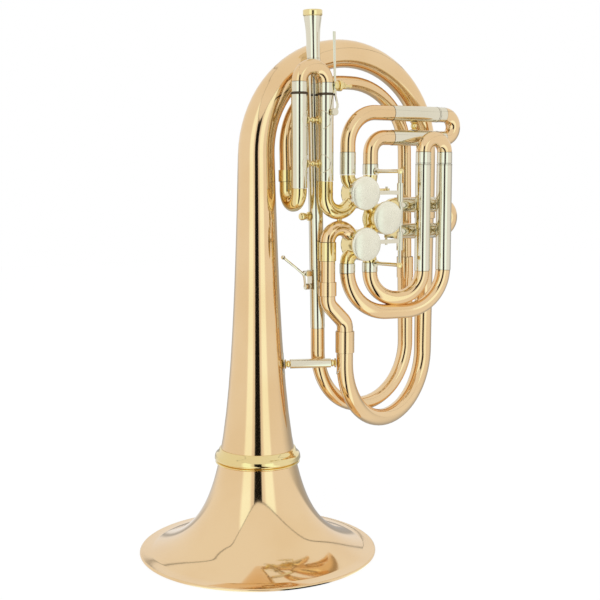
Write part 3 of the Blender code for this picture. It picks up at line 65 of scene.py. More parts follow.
GOLD = "lacquered_gold_brass"
YELLOW = "lacquered_yellow_brass"
NICKEL = "polished_nickel_silver"
# The seam finish: dark lines at ferrule ends and slide mouths, partly solder and partly painted shade of the
# joint's step and gap
SEAM_SHADE = "soldered_seam"
PEARL = "pearl_disc"
CORK = "cork_stopper"
FLOOR = "studio_paper"
WHITE = (1.0, 1.0, 1.0)


# Sizes and colours that a user would change


def maker(kind, **fixed):
    """A function that makes properties of one kind, with fixed limits and units."""

    def made(name, description, default):
        return kind(name=name, description=description, default=default, **fixed)

    return made


length = maker(FloatProperty, min=0.0001, max=1.0, unit="LENGTH", precision=5)
count = maker(IntProperty, min=12, max=256)
colour = maker(FloatVectorProperty, min=0.0, max=1.0, subtype="COLOR")
share = maker(FloatProperty, min=0.0, max=1.0, subtype="FACTOR")
glow = maker(FloatProperty, min=0.0)
bearing = maker(FloatProperty, min=0.01, max=math.pi, subtype="ANGLE")


class TrumpetSizes(bpy.types.PropertyGroup):
    """Lengths of the instrument, in metres"""

    rim_radius: length("Rim Radius", "Radius of the bell at its rim", (FLARE_HIGH.x - FLARE_LOW.x) / 2)
    bell_wall: length("Bell Wall", "Thickness of the bell's sheet", 0.0007)
    bell_tube: length("Bell Tube", "Outer radius of the main bow's start", 0.0072)
    lead_end: length("Lead End", "Outer radius of the leadpipe bow's right end", 0.0071)
    bow_end: length("Bow End", "Outer radius of the main bow's end", 0.0086)
    valve_tube: length("Valve Tube", "Outer radius of the valve tubing", 0.0066)
    slide_tube: length("Slide Tube", "Outer radius of the slides' outer tubes", 0.0069)
    leadpipe: length("Leadpipe", "Outer radius of the leadpipe's bows", 0.0061)
    tube_wall: length("Tube Wall", "Wall of the bent tubes", 0.0006)
    slide_wall: length("Slide Wall", "Wall of the slides and their outer tubes", 0.0005)
    slide_leg: length("Slide Leg", "Outer radius of the slides' inner legs", 0.0059)
    ferrule: length("Ferrule", "How far a ferrule stands proud of its tube", 0.0012)
    seam: length("Seam", "Width of the line at a soldered joint", 0.00035)
    casing_back: length("Casing Back", "Depth of a casing behind its ports", 0.0078)
    touch_radius: length("Touch Radius", "Radius of a touch piece and its rim", 0.0142)
    tube_sides: count("Tube Sides", "Sides of a round tube", 40)
    turned_sides: count("Turned Sides", "Sides of a turned fitting", 48)
    stem_sides: count("Stem Sides", "Sides of the bell's stem", 96)
    bell_sides: count("Bell Sides", "Sides of the bell", 160)
    bend_step: bearing("Bend Step", "Largest turn between two rings of a bend", math.radians(5))


class TrumpetFinishes(bpy.types.PropertyGroup):
    """Colours and polish of the finishes"""

    gold: colour("Gold Brass", "Lacquered gold brass", (0.875, 0.635, 0.36))
    gold_deep: colour("Deep Gold Brass", "Gold brass under thicker lacquer", (0.84, 0.585, 0.31))
    yellow: colour("Yellow Brass", "Lacquered yellow brass", (0.88, 0.72, 0.36))
    yellow_deep: colour("Deep Yellow Brass", "Yellow brass under thicker lacquer", (0.84, 0.66, 0.3))
    nickel: colour("Nickel Silver", "Polished nickel silver", (0.81, 0.76, 0.61))
    nickel_deep: colour("Deep Nickel Silver", "Nickel silver with a thin tarnish", (0.78, 0.72, 0.56))
    pearl: colour("Pearl", "Touch pieces", (0.84, 0.8, 0.65))
    pearl_cloud: colour("Pearl Cloud", "Clouds in the touch pieces", (0.77, 0.72, 0.56))
    pearl_shine: share("Pearl Shine", "How metallic the touch pieces look", 0.45)
    cork: colour("Cork", "Stop corks and key corks", (0.42, 0.27, 0.15))
    cork_speck: colour("Cork Specks", "Dark specks in the cork", (0.16, 0.09, 0.05))
    # Seam colour: near black, for solder together with painted shade in the joint's crevice
    seam: colour("Seam", "Line of solder and shade at a joint", (0.1, 0.065, 0.035))
    lacquer: share("Lacquer", "Weight of the clear lacquer on brass", 0.3)
    polish: share("Polish", "Roughness of the polished metal", 0.07)
    haze: share("Haze", "How far the polish varies", 0.05)


class TrumpetStage(bpy.types.PropertyGroup):
    """Camera, lamps and surroundings"""

    lens: FloatProperty(name="Lens", description="Focal length", default=66.0, min=10.0, unit="CAMERA")
    floor_glow: glow("Floor Glow", "Light that the floor itself gives", 1.05)
    floor_share: share("Floor Share", "Share of the floor's own light", 0.85)
    base: glow("Surroundings", "Light from the pale studio walls", 0.9)
    panel: glow("Panels", "Light from the two panels by the camera", 1.3)
    panel_colour: colour("Panel Colour", "Tint of the two panels", (0.86, 1.0, 1.0))
    slit: glow("Slit", "Light from the dark slit at the camera", 0.01)
    slit_width: bearing("Slit Width", "Half of the dark slit", math.radians(10))
    slit_bearing: bearing("Slit Bearing", "How far right of the camera the slit is", math.radians(3))
    panel_start: bearing("Panel Start", "Where the panels start", math.radians(20))
    panel_end: bearing("Panel End", "Where the panels end", math.radians(42))
    ceiling_lift: bearing("Ceiling", "Height where the ceiling starts", math.radians(22))
    shade: share("Shade", "Darkness of the room's back", 0.5)
    key: FloatProperty(name="Key", description="Power of the key lamp", default=9.0, min=0.0, unit="POWER")


# Shader arithmetic


class Socket:
    """A shader value that takes part in Python arithmetic and adds the Math nodes for it."""

    def __init__(self, shader, link):
        self.shader = shader
        self.link = link

    def maths(self, operation, *values):
        return self.shader.node("Math", {"operation": operation}, dict(enumerate(values)))

    def __add__(self, other):
        return self.maths("ADD", self, other)

    def __sub__(self, other):
        return self.maths("SUBTRACT", self, other)

    def __rsub__(self, other):
        return self.maths("SUBTRACT", other, self)

    def __mul__(self, other):
        return self.maths("MULTIPLY", self, other)

    def __abs__(self):
        return self.maths("ABSOLUTE", self)

    __radd__ = __add__
    __rmul__ = __mul__

    def smooth(self, low, high):
        """0 below low and 1 above high, with a soft change between them."""
        settings = {"interpolation_type": "SMOOTHSTEP"}
        return self.shader.node("MapRange", settings, {0: self, 1: low, 2: high, 3: 0.0, 4: 1.0})


class Shader:
    """A node tree that is written as expressions."""

    def __init__(self, tree):
        self.tree = tree
        tree.nodes.clear()

    def node(self, kind, settings=None, values=None, output=0):
        made = self.tree.nodes.new(f"ShaderNode{kind}")
        for name, setting in (settings or {}).items():
            setattr(made, name, setting)
        for name, value in (values or {}).items():
            if isinstance(value, Socket):
                self.tree.links.new(value.link, made.inputs[name])
            else:
                made.inputs[name].default_value = value
        return Socket(self, made.outputs[output]) if made.outputs else None

    def mix(self, factor, first, second):
        """One colour turning into another, where each is a socket or three numbers."""
        first, second = (end if isinstance(end, Socket) else (*end, 1.0) for end in (first, second))
        ends = {"Factor": factor, 6: first, 7: second}
        return self.node("Mix", {"data_type": "RGBA"}, ends, output=2)

    def place(self):
        return self.node("TexCoord", output="Object")

    def seen(self):
        """1 for what the camera sees straight or through something clear."""
        straight = self.node("LightPath", output="Is Camera Ray")
        return straight + self.node("LightPath", output="Is Transmission Ray")

    def noise(self, place, scale, detail=2.0, roughness=0.5):
        values = {"Vector": place, "Scale": scale, "Detail": detail, "Roughness": roughness}
        return self.node("TexNoise", {}, values)

    def bump(self, height, strength, distance=0.0002):
        return self.node("Bump", {}, {"Height": height, "Strength": strength, "Distance": distance})

    def emission(self, tint, strength):
        return self.node("Emission", {}, {"Color": tint, "Strength": strength})

    def surface(self, values):
        shader = self.node("BsdfPrincipled", {}, values)
        self.node("OutputMaterial", {}, {"Surface": shader})


def new_shader(name):
    material = bpy.data.materials.new(name)
    material.use_nodes = True
    return Shader(material.node_tree)


def metal_finish(name, bright, deep, looks, coat):
    """Polished metal under clear lacquer, with a faint haze and the finest wiping marks."""
    shader = new_shader(name)
    place = shader.place()
    cloud = shader.noise(place, scale=14.0, detail=3.0).smooth(0.35, 0.7)
    wipes = shader.noise(place, scale=420.0, detail=3.0, roughness=0.6)
    shader.surface({
        "Base Color": shader.mix(cloud, bright, deep),
        "Metallic": 1.0,
        "Roughness": looks.polish + looks.haze * cloud * wipes,
        "Coat Weight": coat,
        "Coat Roughness": 0.03,
        "Normal": shader.bump(wipes, 0.02),
    })


def seam_shade_finish(looks):
    """Dull solder with a dark grain, darkened as painted shade of the joint's crevice."""
    shader = new_shader(SEAM_SHADE)
    grain = shader.noise(shader.place(), scale=900.0)
    dark = tuple(part * 0.6 for part in looks.seam)
    shader.surface({
        "Base Color": shader.mix(grain, looks.seam, dark),
        "Metallic": 0.6,
        "Roughness": 0.35 + 0.2 * grain,
    })


def pearl_finish(looks):
    """Cream pearl with soft clouds under a clear polish."""
    shader = new_shader(PEARL)
    place = shader.place()
    drift = shader.noise(place, scale=60.0, detail=4.0, roughness=0.55)
    cloud = shader.noise(place, scale=130.0, detail=5.0, roughness=0.6).smooth(0.3, 0.75)
    shader.surface({
        "Base Color": shader.mix(cloud * drift, looks.pearl, looks.pearl_cloud),
        "Metallic": looks.pearl_shine,
        "Roughness": 0.24 + 0.1 * cloud,
        "Coat Weight": 0.6,
        "Coat Roughness": 0.04,
        "Normal": shader.bump(drift, 0.01),
    })


def cork_finish(looks):
    """Granular cork with dark specks."""
    shader = new_shader(CORK)
    place = shader.place()
    grains = shader.node("TexVoronoi", {}, {"Vector": place, "Scale": 1500.0})
    specks = shader.noise(place, scale=1900.0).smooth(0.58, 0.68)
    shader.surface({
        "Base Color": shader.mix(specks, looks.cork, looks.cork_speck),
        "Roughness": 0.78 + 0.15 * grains,
        "Normal": shader.bump(grains, 0.5),
    })


# Room that the metal mirrors. Ways round it are 1 to the right of the slit and -1 to the left.

CAMERA_RIGHT = Vector((0.866, -0.5))
TO_CAMERA = Vector((-0.5, -0.866))
SOFT_EDGE = math.radians(1.5)
SHADE_TOP = math.radians(4)
EDGE_LINE = (math.radians(0.3), math.radians(1.0))
LINE_DARKNESS = 0.6
# Shade at the back: way, and the degrees where it starts and is full
BACK_SHADE = ((1, 82, 135), (-1, 125, 165))
# The ceiling's edge: way, the degrees where a climb starts and ends, and the climb in radians
CEILING_CLIMBS = ((1, 0, 100, 0.33), (1, 100, 180, -0.5), (-1, 0, 75, 0.66), (-1, 120, 180, -0.7))


def round_room(shader, place, stage):
    """How far a direction is to the right of the slit, as an angle, and the sine of its lift."""
    parts = [shader.node("SeparateXYZ", {}, {0: place}, output=axis) for axis in range(3)]
    turn = stage.slit_bearing
    right = CAMERA_RIGHT * math.cos(turn) - TO_CAMERA * math.sin(turn)
    ahead = TO_CAMERA * math.cos(turn) + CAMERA_RIGHT * math.sin(turn)
    across = parts[0] * right.x + parts[1] * right.y
    towards = parts[0] * ahead.x + parts[1] * ahead.y
    return across.maths("ARCTAN2", across, towards), parts[2]


def wall_light(side, low, stage):
    """Where the panels are, and the light of the walls: a dark slit at the camera, a panel at each side
    of it and shade at the back. Low is 1 at the floor, where the shade lies, and 0 above it."""
    away = abs(side)
    slit = 1.0 - away.smooth(stage.slit_width - SOFT_EDGE, stage.slit_width + SOFT_EDGE)
    panel = away.smooth(stage.panel_start * 0.75, stage.panel_start * 1.1)
    panel = panel * (1.0 - away.smooth(stage.panel_end * 0.9, stage.panel_end * 1.1))
    back = 0.0
    for way, start, full in BACK_SHADE:
        back = back + (way * side).smooth(math.radians(start), math.radians(full))
    light = stage.base + (stage.panel - stage.base) * panel
    light = light * (1.0 - back * low * stage.shade)
    return panel, light * (1.0 - slit) + stage.slit * slit


def room_light(shader, place, stage):
    """Tint and light of the room: its walls under a pale ceiling with a thin dark edge."""
    side, rise = round_room(shader, place, stage)
    lift = rise.maths("ARCSINE", rise)
    panel, light = wall_light(side, 1.0 - lift.smooth(0.0, SHADE_TOP), stage)
    edge = 0.0
    for way, start, end, climb in CEILING_CLIMBS:
        edge = edge + (way * side).smooth(math.radians(start), math.radians(end)) * climb
    above = lift - edge - stage.ceiling_lift
    line = 1.0 - abs(above).smooth(*EDGE_LINE)
    top = above.smooth(-SOFT_EDGE / 2, SOFT_EDGE / 2)
    tint = shader.mix(panel * (1.0 - top), WHITE, stage.panel_colour)
    return tint, (light * (1.0 - top) + stage.base * top) * (1.0 - LINE_DARKNESS * line)


def floor_finish(stage):
    """White paper that shines to the camera, takes the shadow and shows the metal the walls' light."""
    shader = new_shader(FLOOR)
    place = shader.place()
    grain = shader.noise(place, scale=900.0)
    values = {"Base Color": (0.8, 0.8, 0.8, 1), "Roughness": 0.85 + 0.1 * grain, "Specular IOR Level": 0.1}
    paper = shader.node("BsdfPrincipled", {}, values)
    white = shader.emission((*WHITE, 1.0), stage.floor_glow)
    seen = shader.seen() * stage.floor_share
    mixed = shader.node("MixShader", {}, {0: seen, 1: paper, 2: white})
    panel, light = wall_light(round_room(shader, place, stage)[0], 1.0, stage)
    room = shader.emission(shader.mix(panel, WHITE, stage.panel_colour), light)
    glossy = shader.node("LightPath", output="Is Glossy Ray")
    mixed = shader.node("MixShader", {}, {0: glossy, 1: mixed, 2: room})
    shader.node("OutputMaterial", {}, {"Surface": mixed})


# Shapes, worked in the bell's own coordinates: its axis is X = Y = 0

# Edges that turn further than this stay sharp, on new shapes and on copies of the frame's nodes
SHARP = math.radians(38)
SHARP_NODE = math.radians(40)
# Least gap or change of size that counts, and the length below which a straight run is left out
LEAST = 1e-6
NO_LENGTH = 1e-7
TAPER_RINGS = 12


def finished(shape, name, palette, sharp=SHARP):
    """The shape as an object in its place, smooth but for its sharp edges."""
    bmesh.ops.translate(shape, vec=BELL_AXIS, verts=shape.verts)
    for face in shape.faces:
        face.smooth = True
    for edge in shape.edges:
        edge.smooth = len(edge.link_faces) == 2 and edge.calc_face_angle(0.0) < sharp
    mesh = bpy.data.meshes.new(name)
    shape.to_mesh(mesh)
    shape.free()
    for finish in palette:
        mesh.materials.append(bpy.data.materials[finish])
    made = bpy.data.objects.new(name, mesh)
    bpy.context.scene.collection.objects.link(made)
    return made


def attach(piece, node):
    """The piece moves with a node that something else stands for."""
    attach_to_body(piece, BODY_OF[node])
    return piece


def carry(piece, node):
    """The piece stands for a node and moves with it."""
    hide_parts(node)
    return attach(piece, node)


def upright(way):
    """The turn from straight up to a way."""
    return Vector(way).to_track_quat("Z", "Y").to_matrix().to_4x4()


def value_at(size, place):
    """A size that is one number or a function of a place."""
    return size(place) if callable(size) else size


def face_away(shape, faces, centre):
    """Normals that look away from the centre at the given faces."""
    bmesh.ops.recalc_face_normals(shape, faces=shape.faces)
    if sum(face.normal.dot(face.calc_center_median() - centre) for face in faces) < 0:
        bmesh.ops.reverse_faces(shape, faces=shape.faces)


def mm(*points):
    """Points given in millimetres, in metres."""
    return [(across * 0.001, up * 0.001) for across, up in points]


def walled(piece, wall):
    shell = piece.modifiers.new("wall", "SOLIDIFY")
    shell.thickness = wall
    shell.offset = -1.0
    return piece


def route(corners, bends):
    """Straight runs and turns through the corners, each with its length."""
    corners = [Vector(corner) for corner in corners]
    legs = []
    place = corners[0]
    for before, corner, after, bend in zip(corners, corners[1:], corners[2:], bends):
        back = (before - corner).normalized()
        ahead = (after - corner).normalized()
        turn = math.pi - back.angle(ahead)
        first = corner + back * bend * math.tan(turn / 2)
        centre = corner + (back + ahead).normalized() * bend / math.cos(turn / 2)
        legs.append(((first - place).length, -back, None))
        legs.append((turn * bend, (-back).cross(ahead).normalized(), (centre, bend)))
        place = corner + ahead * bend * math.tan(turn / 2)
    legs.append(((corners[-1] - place).length, (corners[-1] - place).normalized(), None))
    return corners[0], (corners[1] - corners[0]).normalized(), [leg for leg in legs if leg[0] > NO_LENGTH]


def run_length(corners, bends):
    """Length of the tube through the corners."""
    return sum(leg[0] for leg in route(corners, bends)[2])


def pipe(name, corners, bends, girth, base, bands=(), sides=None):
    """A round tube carried along its route. Girth is a radius or a function of the length along it,
    and each band is a start, an end, a radius and a finish."""
    sizes = bpy.context.scene.trumpet_sizes
    start, way, legs = route(corners, bends)
    total = sum(leg[0] for leg in legs)
    edges = sorted({mark for band in bands for mark in band[:2] if sizes.seam < mark < total - sizes.seam})
    half = sizes.seam / 2
    palette = list(dict.fromkeys([base, SEAM_SHADE] + [band[3] for band in bands]))

    def radius_at(along):
        for low, high, radius, _ in bands:
            if low <= along <= high:
                return radius
        return value_at(girth, along)

    def finish_at(along):
        # Thin lines at the band edges take the seam finish: solder with painted shade where the ferrule's
        # step meets the tube
        if any(abs(along - mark) < half for mark in edges):
            return SEAM_SHADE
        for low, high, _, finish in bands:
            if low <= along <= high:
                return finish
        return base

    shape = bmesh.new()
    now = radius_at(0.0)
    first = Matrix.Translation(start) @ upright(way)
    bmesh.ops.create_circle(shape, segments=sides or sizes.tube_sides, radius=now, matrix=first)
    rim = list(shape.edges)
    middle = start.copy()
    here = 0.0
    for reach, axis, arc in legs:
        steps = TAPER_RINGS if callable(girth) else 1
        if arc:
            steps = math.ceil(reach / arc[1] / sizes.bend_step)
        ends = {here + reach} | {here + reach * step / steps for step in range(1, steps)}
        ends |= {mark + side for mark in edges for side in (-half, half) if here < mark + side < here + reach}
        for end in sorted(ends):
            made = bmesh.ops.extrude_edge_only(shape, edges=rim)["geom"]
            ring = [part for part in made if isinstance(part, bmesh.types.BMVert)]
            rim = [part for part in made if isinstance(part, bmesh.types.BMEdge)]
            rim = [edge for edge in rim if all(vert in set(ring) for vert in edge.verts)]
            index = palette.index(finish_at((here + end) / 2))
            for part in made:
                if isinstance(part, bmesh.types.BMFace):
                    part.material_index = index
            if arc:
                spin = Matrix.Rotation((end - here) / arc[1], 3, axis)
                bmesh.ops.rotate(shape, verts=ring, cent=arc[0], matrix=spin)
                middle = arc[0] + spin @ (middle - arc[0])
            else:
                bmesh.ops.translate(shape, verts=ring, vec=axis * (end - here))
                middle = middle + axis * (end - here)
            grow = radius_at(end) / now
            if abs(grow - 1) > LEAST:
                centred = Matrix.Translation(-middle)
                bmesh.ops.scale(shape, verts=ring, vec=(grow, grow, grow), space=centred)
            now = radius_at(end)
            here = end
    face_away(shape, shape.faces[:8], start)
    return finished(shape, name, palette)


def taper(start, end, total):
    """A radius that changes evenly over a length."""

    def radius(along):
        return start + (end - start) * along / total

    return radius


def tube(node, name, corners, bends, girth, base, bands=(), wall=None, sides=None):
    """A bent tube with its wall, which stands for a node."""
    made = pipe(name, corners, bends, girth, base, bands, sides)
    return carry(walled(made, wall or bpy.context.scene.trumpet_sizes.tube_wall), node)


def turned(name, profile, base, place=(0, 0, 0), axis=(0, 0, 1), closed=False, steps=None, paint=None):
    """A shape turned from a profile of (radius, height). Paint gives a finish for a radius and a height."""
    steps = steps or bpy.context.scene.trumpet_sizes.turned_sides
    shape = bmesh.new()
    line = [shape.verts.new((radius, 0.0, height)) for radius, height in profile]
    pairs = list(zip(line, line[1:])) + ([(line[-1], line[0])] if closed else [])
    edges = [shape.edges.new(pair) for pair in pairs]
    bmesh.ops.spin(
        shape, geom=line + edges, axis=(0, 0, 1), angle=math.tau, steps=steps, use_merge=True
    )
    bmesh.ops.remove_doubles(shape, verts=shape.verts, dist=LEAST)
    bmesh.ops.recalc_face_normals(shape, faces=shape.faces)
    palette = [base]
    for face in shape.faces if paint else []:
        middle = face.calc_center_median()
        finish = paint(math.hypot(middle.x, middle.y), middle.z) or base
        if finish not in palette:
            palette.append(finish)
        face.material_index = palette.index(finish)
    bmesh.ops.transform(shape, matrix=Matrix.Translation(place) @ upright(axis), verts=shape.verts)
    return finished(shape, name, palette)


def polished_node(node, base, apart=None, other=None, shift=None):
    """A frame node's own shape with welded points, smooth shading and its finishes. In the bell's
    coordinates, faces whose middle is told apart take the other finish, and shift moves the points."""
    shape = bmesh.new()
    shape.from_mesh(frame["nodes"][node].data)
    bmesh.ops.remove_doubles(shape, verts=shape.verts, dist=2 * LEAST)
    bmesh.ops.dissolve_degenerate(shape, edges=shape.edges, dist=LEAST)
    bmesh.ops.recalc_face_normals(shape, faces=shape.faces)
    bmesh.ops.translate(shape, vec=-BELL_AXIS, verts=shape.verts)
    for face in shape.faces:
        face.material_index = int(bool(apart and apart(face.calc_center_median())))
    for vert in shape.verts if shift else []:
        vert.co = shift(vert.co)
    palette = [base, other] if other else [base]
    return carry(finished(shape, f"{node}_polished", palette, SHARP_NODE), node)


# Places that several pieces share

VALVE_Y = -0.034
# Distances from a valve's axis: of its slide's two legs, and of its ports' ends
LEG = 0.0118
LEG_END = 0.0158
JOINT_GAP = 0.0003
BOW_X = 0.0695
OUTLET_X = 0.0515
TUNING_LEFT = 0.0232
TUNING_RIGHT = 0.049
ARC_FOOT = Vector((0.0247, -0.0097, 0))
# A bow's radius is just under half of the distance between its legs, so that both bends fit
FIT = 0.995


def on_plane(*places):
    """Points of the valves' plane, from their distances across and up."""
    return [Vector((across, VALVE_Y, height)) for across, height in places]


VALVES = on_plane((0.0835, 0.3169), (0.1061, 0.2943), (0.0835, 0.2717))


def port(valve, degrees, distance):
    """A point of the valves' plane at a bearing and a distance from a valve's axis."""
    angle = math.radians(degrees)
    return VALVES[valve] + Vector((math.cos(angle), 0, math.sin(angle))) * distance


def lead_point(height):
    """The leaning leadpipe's middle at a height."""
    reached = (0.4725 - height) / 0.2945
    return Vector((0.0436 + 0.0088 * reached, -0.0212 + 0.0047 * reached, height))


def inner_leg_x(height):
    """Where the leaning inner leg stands at a height."""
    return 0.1595 - 0.005 * (height - 0.178) / 0.173


# Bell

FLARE_JOINT = 0.08
STEM_TOP = 0.35
BELL_SPAN = 0.1805
THROAT = 0.002
FLARE_DEPTH = 0.016
FLARE_POWER = -0.64
RING_HEIGHT = 0.0866


def bell_radius(height):
    """Outer radius of the flare and the stem at a height."""
    rim = bpy.context.scene.trumpet_sizes.rim_radius
    return THROAT + (rim - THROAT) * ((height + FLARE_DEPTH) / FLARE_DEPTH) ** FLARE_POWER


def bell_flare(sizes):
    """The sheet from its joint down to the wired edge and up again on the inside."""
    rim = sizes.rim_radius
    rings = 60
    gather = 1.7
    wire = 0.0013
    inner_low = 0.0022
    nudge = 0.0005
    wall = sizes.bell_wall
    heights = [FLARE_JOINT * (1 - step / rings) ** gather for step in range(rings)]
    outer = [(bell_radius(height), height) for height in heights if height > 2 * wire]
    bead = []
    for degrees in range(100, -101, -25):
        angle = math.radians(degrees)
        bead.append((rim - wire + wire * math.cos(angle), wire + wire * math.sin(angle)))
    inner = []
    for radius, height in reversed(outer):
        lean = math.atan((bell_radius(height) - bell_radius(height + nudge)) / nudge)
        inner.append((radius - wall * math.cos(lean), height - wall * math.sin(lean)))
    profile = outer + bead + [point for point in inner if point[1] > inner_low]
    carry(turned("bell_flare_sheet", profile, GOLD, closed=True, steps=sizes.bell_sides), "bell_flare")


def bell_stem(sizes):
    """The bell's curve up to the top bow, and an even taper over it."""
    bend = BELL_SPAN / 2
    arc = math.pi * bend
    top = STEM_TOP + bend
    gap = 0.00015
    corners = [(0, 0, FLARE_JOINT + gap), (0, 0, top), (BELL_SPAN, 0, top), (BELL_SPAN, 0, 0.305)]

    def girth(along):
        height = along + FLARE_JOINT
        if height < STEM_TOP:
            return bell_radius(height)
        reached = min((height - STEM_TOP) / arc, 1.0)
        return bell_radius(STEM_TOP) * (1 - reached) + sizes.bow_end * reached

    bends = (bend, bend)
    tube("bell_stem", "bell_stem_sheet", corners, bends, girth, GOLD, (), sizes.bell_wall, sizes.stem_sides)


def bell_ring(sizes):
    """A cove over a broad bead, and a smaller bead below it."""
    side = mm(
        (0.3, 6.6), (1.2, 6.6), (1.5, 6.3), (1.9, 4.2), (3, 2.6), (3.7, 2.1), (4.1, 1.5), (4.3, 0.4),
        (4.3, -1.4), (4.1, -2.5), (3.6, -3.1), (1.4, -3.4), (1.4, -4.2), (2.4, -4.5), (2.9, -5),
        (2.9, -5.6), (2.4, -6.2), (0.3, -6.6),
    )
    profile = [(bell_radius(RING_HEIGHT + height) + out, height) for out, height in side]
    place = (0, 0, RING_HEIGHT)
    ring = turned("bell_ring_beads", profile, YELLOW, place, closed=True, steps=sizes.bell_sides)
    carry(ring, "bell_ring")


class TRUMPET_OT_bell(bpy.types.Operator):
    """Spin the bell's flare, carry its stem over the top bow and set the ring over their seam"""

    bl_idname = "trumpet.bell"
    bl_label = "Bell"

    def execute(self, context):
        sizes = context.scene.trumpet_sizes
        bell_flare(sizes)
        bell_stem(sizes)
        bell_ring(sizes)
        return {"FINISHED"}


# Main run


def main_bow(sizes):
    """The bow widens from the S bend to the bell's stem, with a ferrule at each end."""
    bend = math.hypot(0.111, VALVE_Y) / 2
    low = 0.168 - bend
    corners = [(BOW_X, VALVE_Y, 0.196), (BOW_X, VALVE_Y, low), (0.179, 0, low), (0.18, 0, 0.308)]
    total = run_length(corners, (bend, bend))
    bands = [
        (0, 0.019, sizes.bell_tube + sizes.ferrule, GOLD),
        (total - 0.018, total, sizes.bow_end + sizes.ferrule, GOLD),
    ]
    girth = taper(sizes.bell_tube, sizes.bow_end, total)
    tube("main_bow", "main_bow_tube", corners, (bend * FIT, bend * FIT), girth, GOLD, bands)


def s_bend(sizes):
    corners = on_plane((OUTLET_X, 0.2403), (OUTLET_X, 0.2215), (BOW_X, 0.2035), (BOW_X, 0.193))
    bends = (0.011, 0.011)
    bands = [(0, 0.0122, sizes.valve_tube + sizes.ferrule, GOLD)]
    girth = taper(sizes.valve_tube, sizes.bell_tube, run_length(corners, bends))
    tube("s_bend", "s_bend_tube", corners, bends, girth, GOLD, bands)


class TRUMPET_OT_main_run(bpy.types.Operator):
    """Carry the main bow, the S bend and the outlet tube"""

    bl_idname = "trumpet.main_run"
    bl_label = "Main Run"

    def execute(self, context):
        sizes = context.scene.trumpet_sizes
        main_bow(sizes)
        s_bend(sizes)
        corners = [port(2, 135, 0.015), port(2, 135, 0.032 * math.sqrt(2)), (OUTLET_X, VALVE_Y, 0.2373)]
        bends = (0.0119,)
        low = run_length(corners, bends) - 0.0377
        bands = [(low, low + 0.0163, sizes.valve_tube + 0.0008, YELLOW)]
        tube("outlet_tube", "outlet_tube_bend", corners, bends, sizes.valve_tube, GOLD, bands)
        return {"FINISHED"}


def receiver(sizes):
    axis = lead_point(1.0) - lead_point(0.0)
    top = lead_point(0.4725)
    profile = [
        (0.0071, 0.0), (0.0071, -0.0053), (0.0076, -0.0053), (0.0078, -0.0056), (0.0076, -0.0075),
        (0.0068, -0.0125), (0.00625, -0.018), (0.0059, -0.026), (0.006, -0.034), (0.0062, -0.0405),
        (sizes.leadpipe - sizes.tube_wall, -0.0405), (0.0046, -0.03), (0.0056, -0.0008), (0.0062, 0.0),
    ]
    carry(turned("receiver_cone", profile, NICKEL, top, axis, closed=True), "receiver")
    profile = mm(
        (7.9, 0), (8.2, -0.2), (8.4, -0.6), (8.4, -4.4), (8.2, -4.8), (7.9, -5), (7.4, -5), (7.4, 0),
    )
    carry(turned("receiver_collar_ring", profile, YELLOW, top, axis, closed=True), "receiver_collar")


def leadpipe_bow(sizes, lead):
    left = Vector((0.0524, -0.0165, 0))
    right = Vector((0.1595, 0, 0))
    bend = (right - left).length / 2
    bends = (bend * FIT, bend * FIT)
    low = Vector((0, 0, 0.1772 - bend))
    corners = [lead_point(0.198), left + low, right + low, (inner_leg_x(0.237), 0, 0.24)]
    girth = taper(lead, sizes.lead_end, run_length(corners, bends))
    tube("leadpipe_bow", "leadpipe_bow_tube", corners, bends, girth, GOLD)


def inner_arc(sizes, lead):
    half_span = 0.0638
    bend = half_span * 0.955
    top = 0.4148
    corners = [
        (inner_leg_x(0.237), 0, 0.237), (0.1545, 0, top), (0.0269, -0.0015, top), (*ARC_FOOT.xy, 0.334),
    ]
    bands = [(0, 0.0195, sizes.lead_end + 0.0006, GOLD)]
    tube("inner_arc", "inner_arc_tube", corners, (bend, bend), lead, GOLD, bands)


def return_bend(lead):
    left = Vector((TUNING_LEFT, VALVE_Y, 0))
    bend = (ARC_FOOT - left).length / 2
    low = 0.3199 - bend
    corners = [(*left.xy, 0.3214), (*left.xy, low), (*ARC_FOOT.xy, low), (*ARC_FOOT.xy, 0.337)]
    total = run_length(corners, (bend, bend))
    bands = [(total - 0.01, total, lead + 0.0012, YELLOW)]
    tube("return_bend", "return_bend_tube", corners, (bend, bend), lead + 0.0003, YELLOW, bands)


class TRUMPET_OT_leadpipe(bpy.types.Operator):
    """Turn the receiver and carry the leadpipe, its bottom bow, the inner arc and the return bend"""

    bl_idname = "trumpet.leadpipe"
    bl_label = "Leadpipe"

    def execute(self, context):
        sizes = context.scene.trumpet_sizes
        receiver(sizes)
        corners = [lead_point(0.4317), lead_point(0.1983)]
        tube("leadpipe_sleeve", "leadpipe_sleeve_tube", corners, (), sizes.leadpipe + 0.0002, NICKEL)
        leadpipe_bow(sizes, sizes.leadpipe)
        inner_arc(sizes, sizes.leadpipe)
        return_bend(sizes.leadpipe)
        return {"FINISHED"}


# Slides


def pulled_slide(name, node, mouths, axis, sleeve, leg):
    """Two bright legs, a sleeve at each mouth and the bow between them."""
    sizes = bpy.context.scene.trumpet_sizes
    axis = Vector(axis)
    bend = (mouths[1] - mouths[0]).length / 2
    tops = [mouth + axis * (JOINT_GAP + sleeve + bend) for mouth in mouths]
    corners = [mouths[0] - axis * leg, tops[0], tops[1], mouths[1] - axis * leg]
    total = run_length(corners, (bend, bend))
    inside = leg + JOINT_GAP
    near = inside + sleeve
    proud = sizes.slide_tube - 0.0001
    bands = [
        (0, inside, sizes.slide_leg, NICKEL), (inside, near, proud, NICKEL),
        (total - near, total - inside, proud, NICKEL), (total - inside, total, sizes.slide_leg, NICKEL),
    ]
    tube(node, name, corners, (bend, bend), sizes.valve_tube, GOLD, bands, sizes.slide_wall)


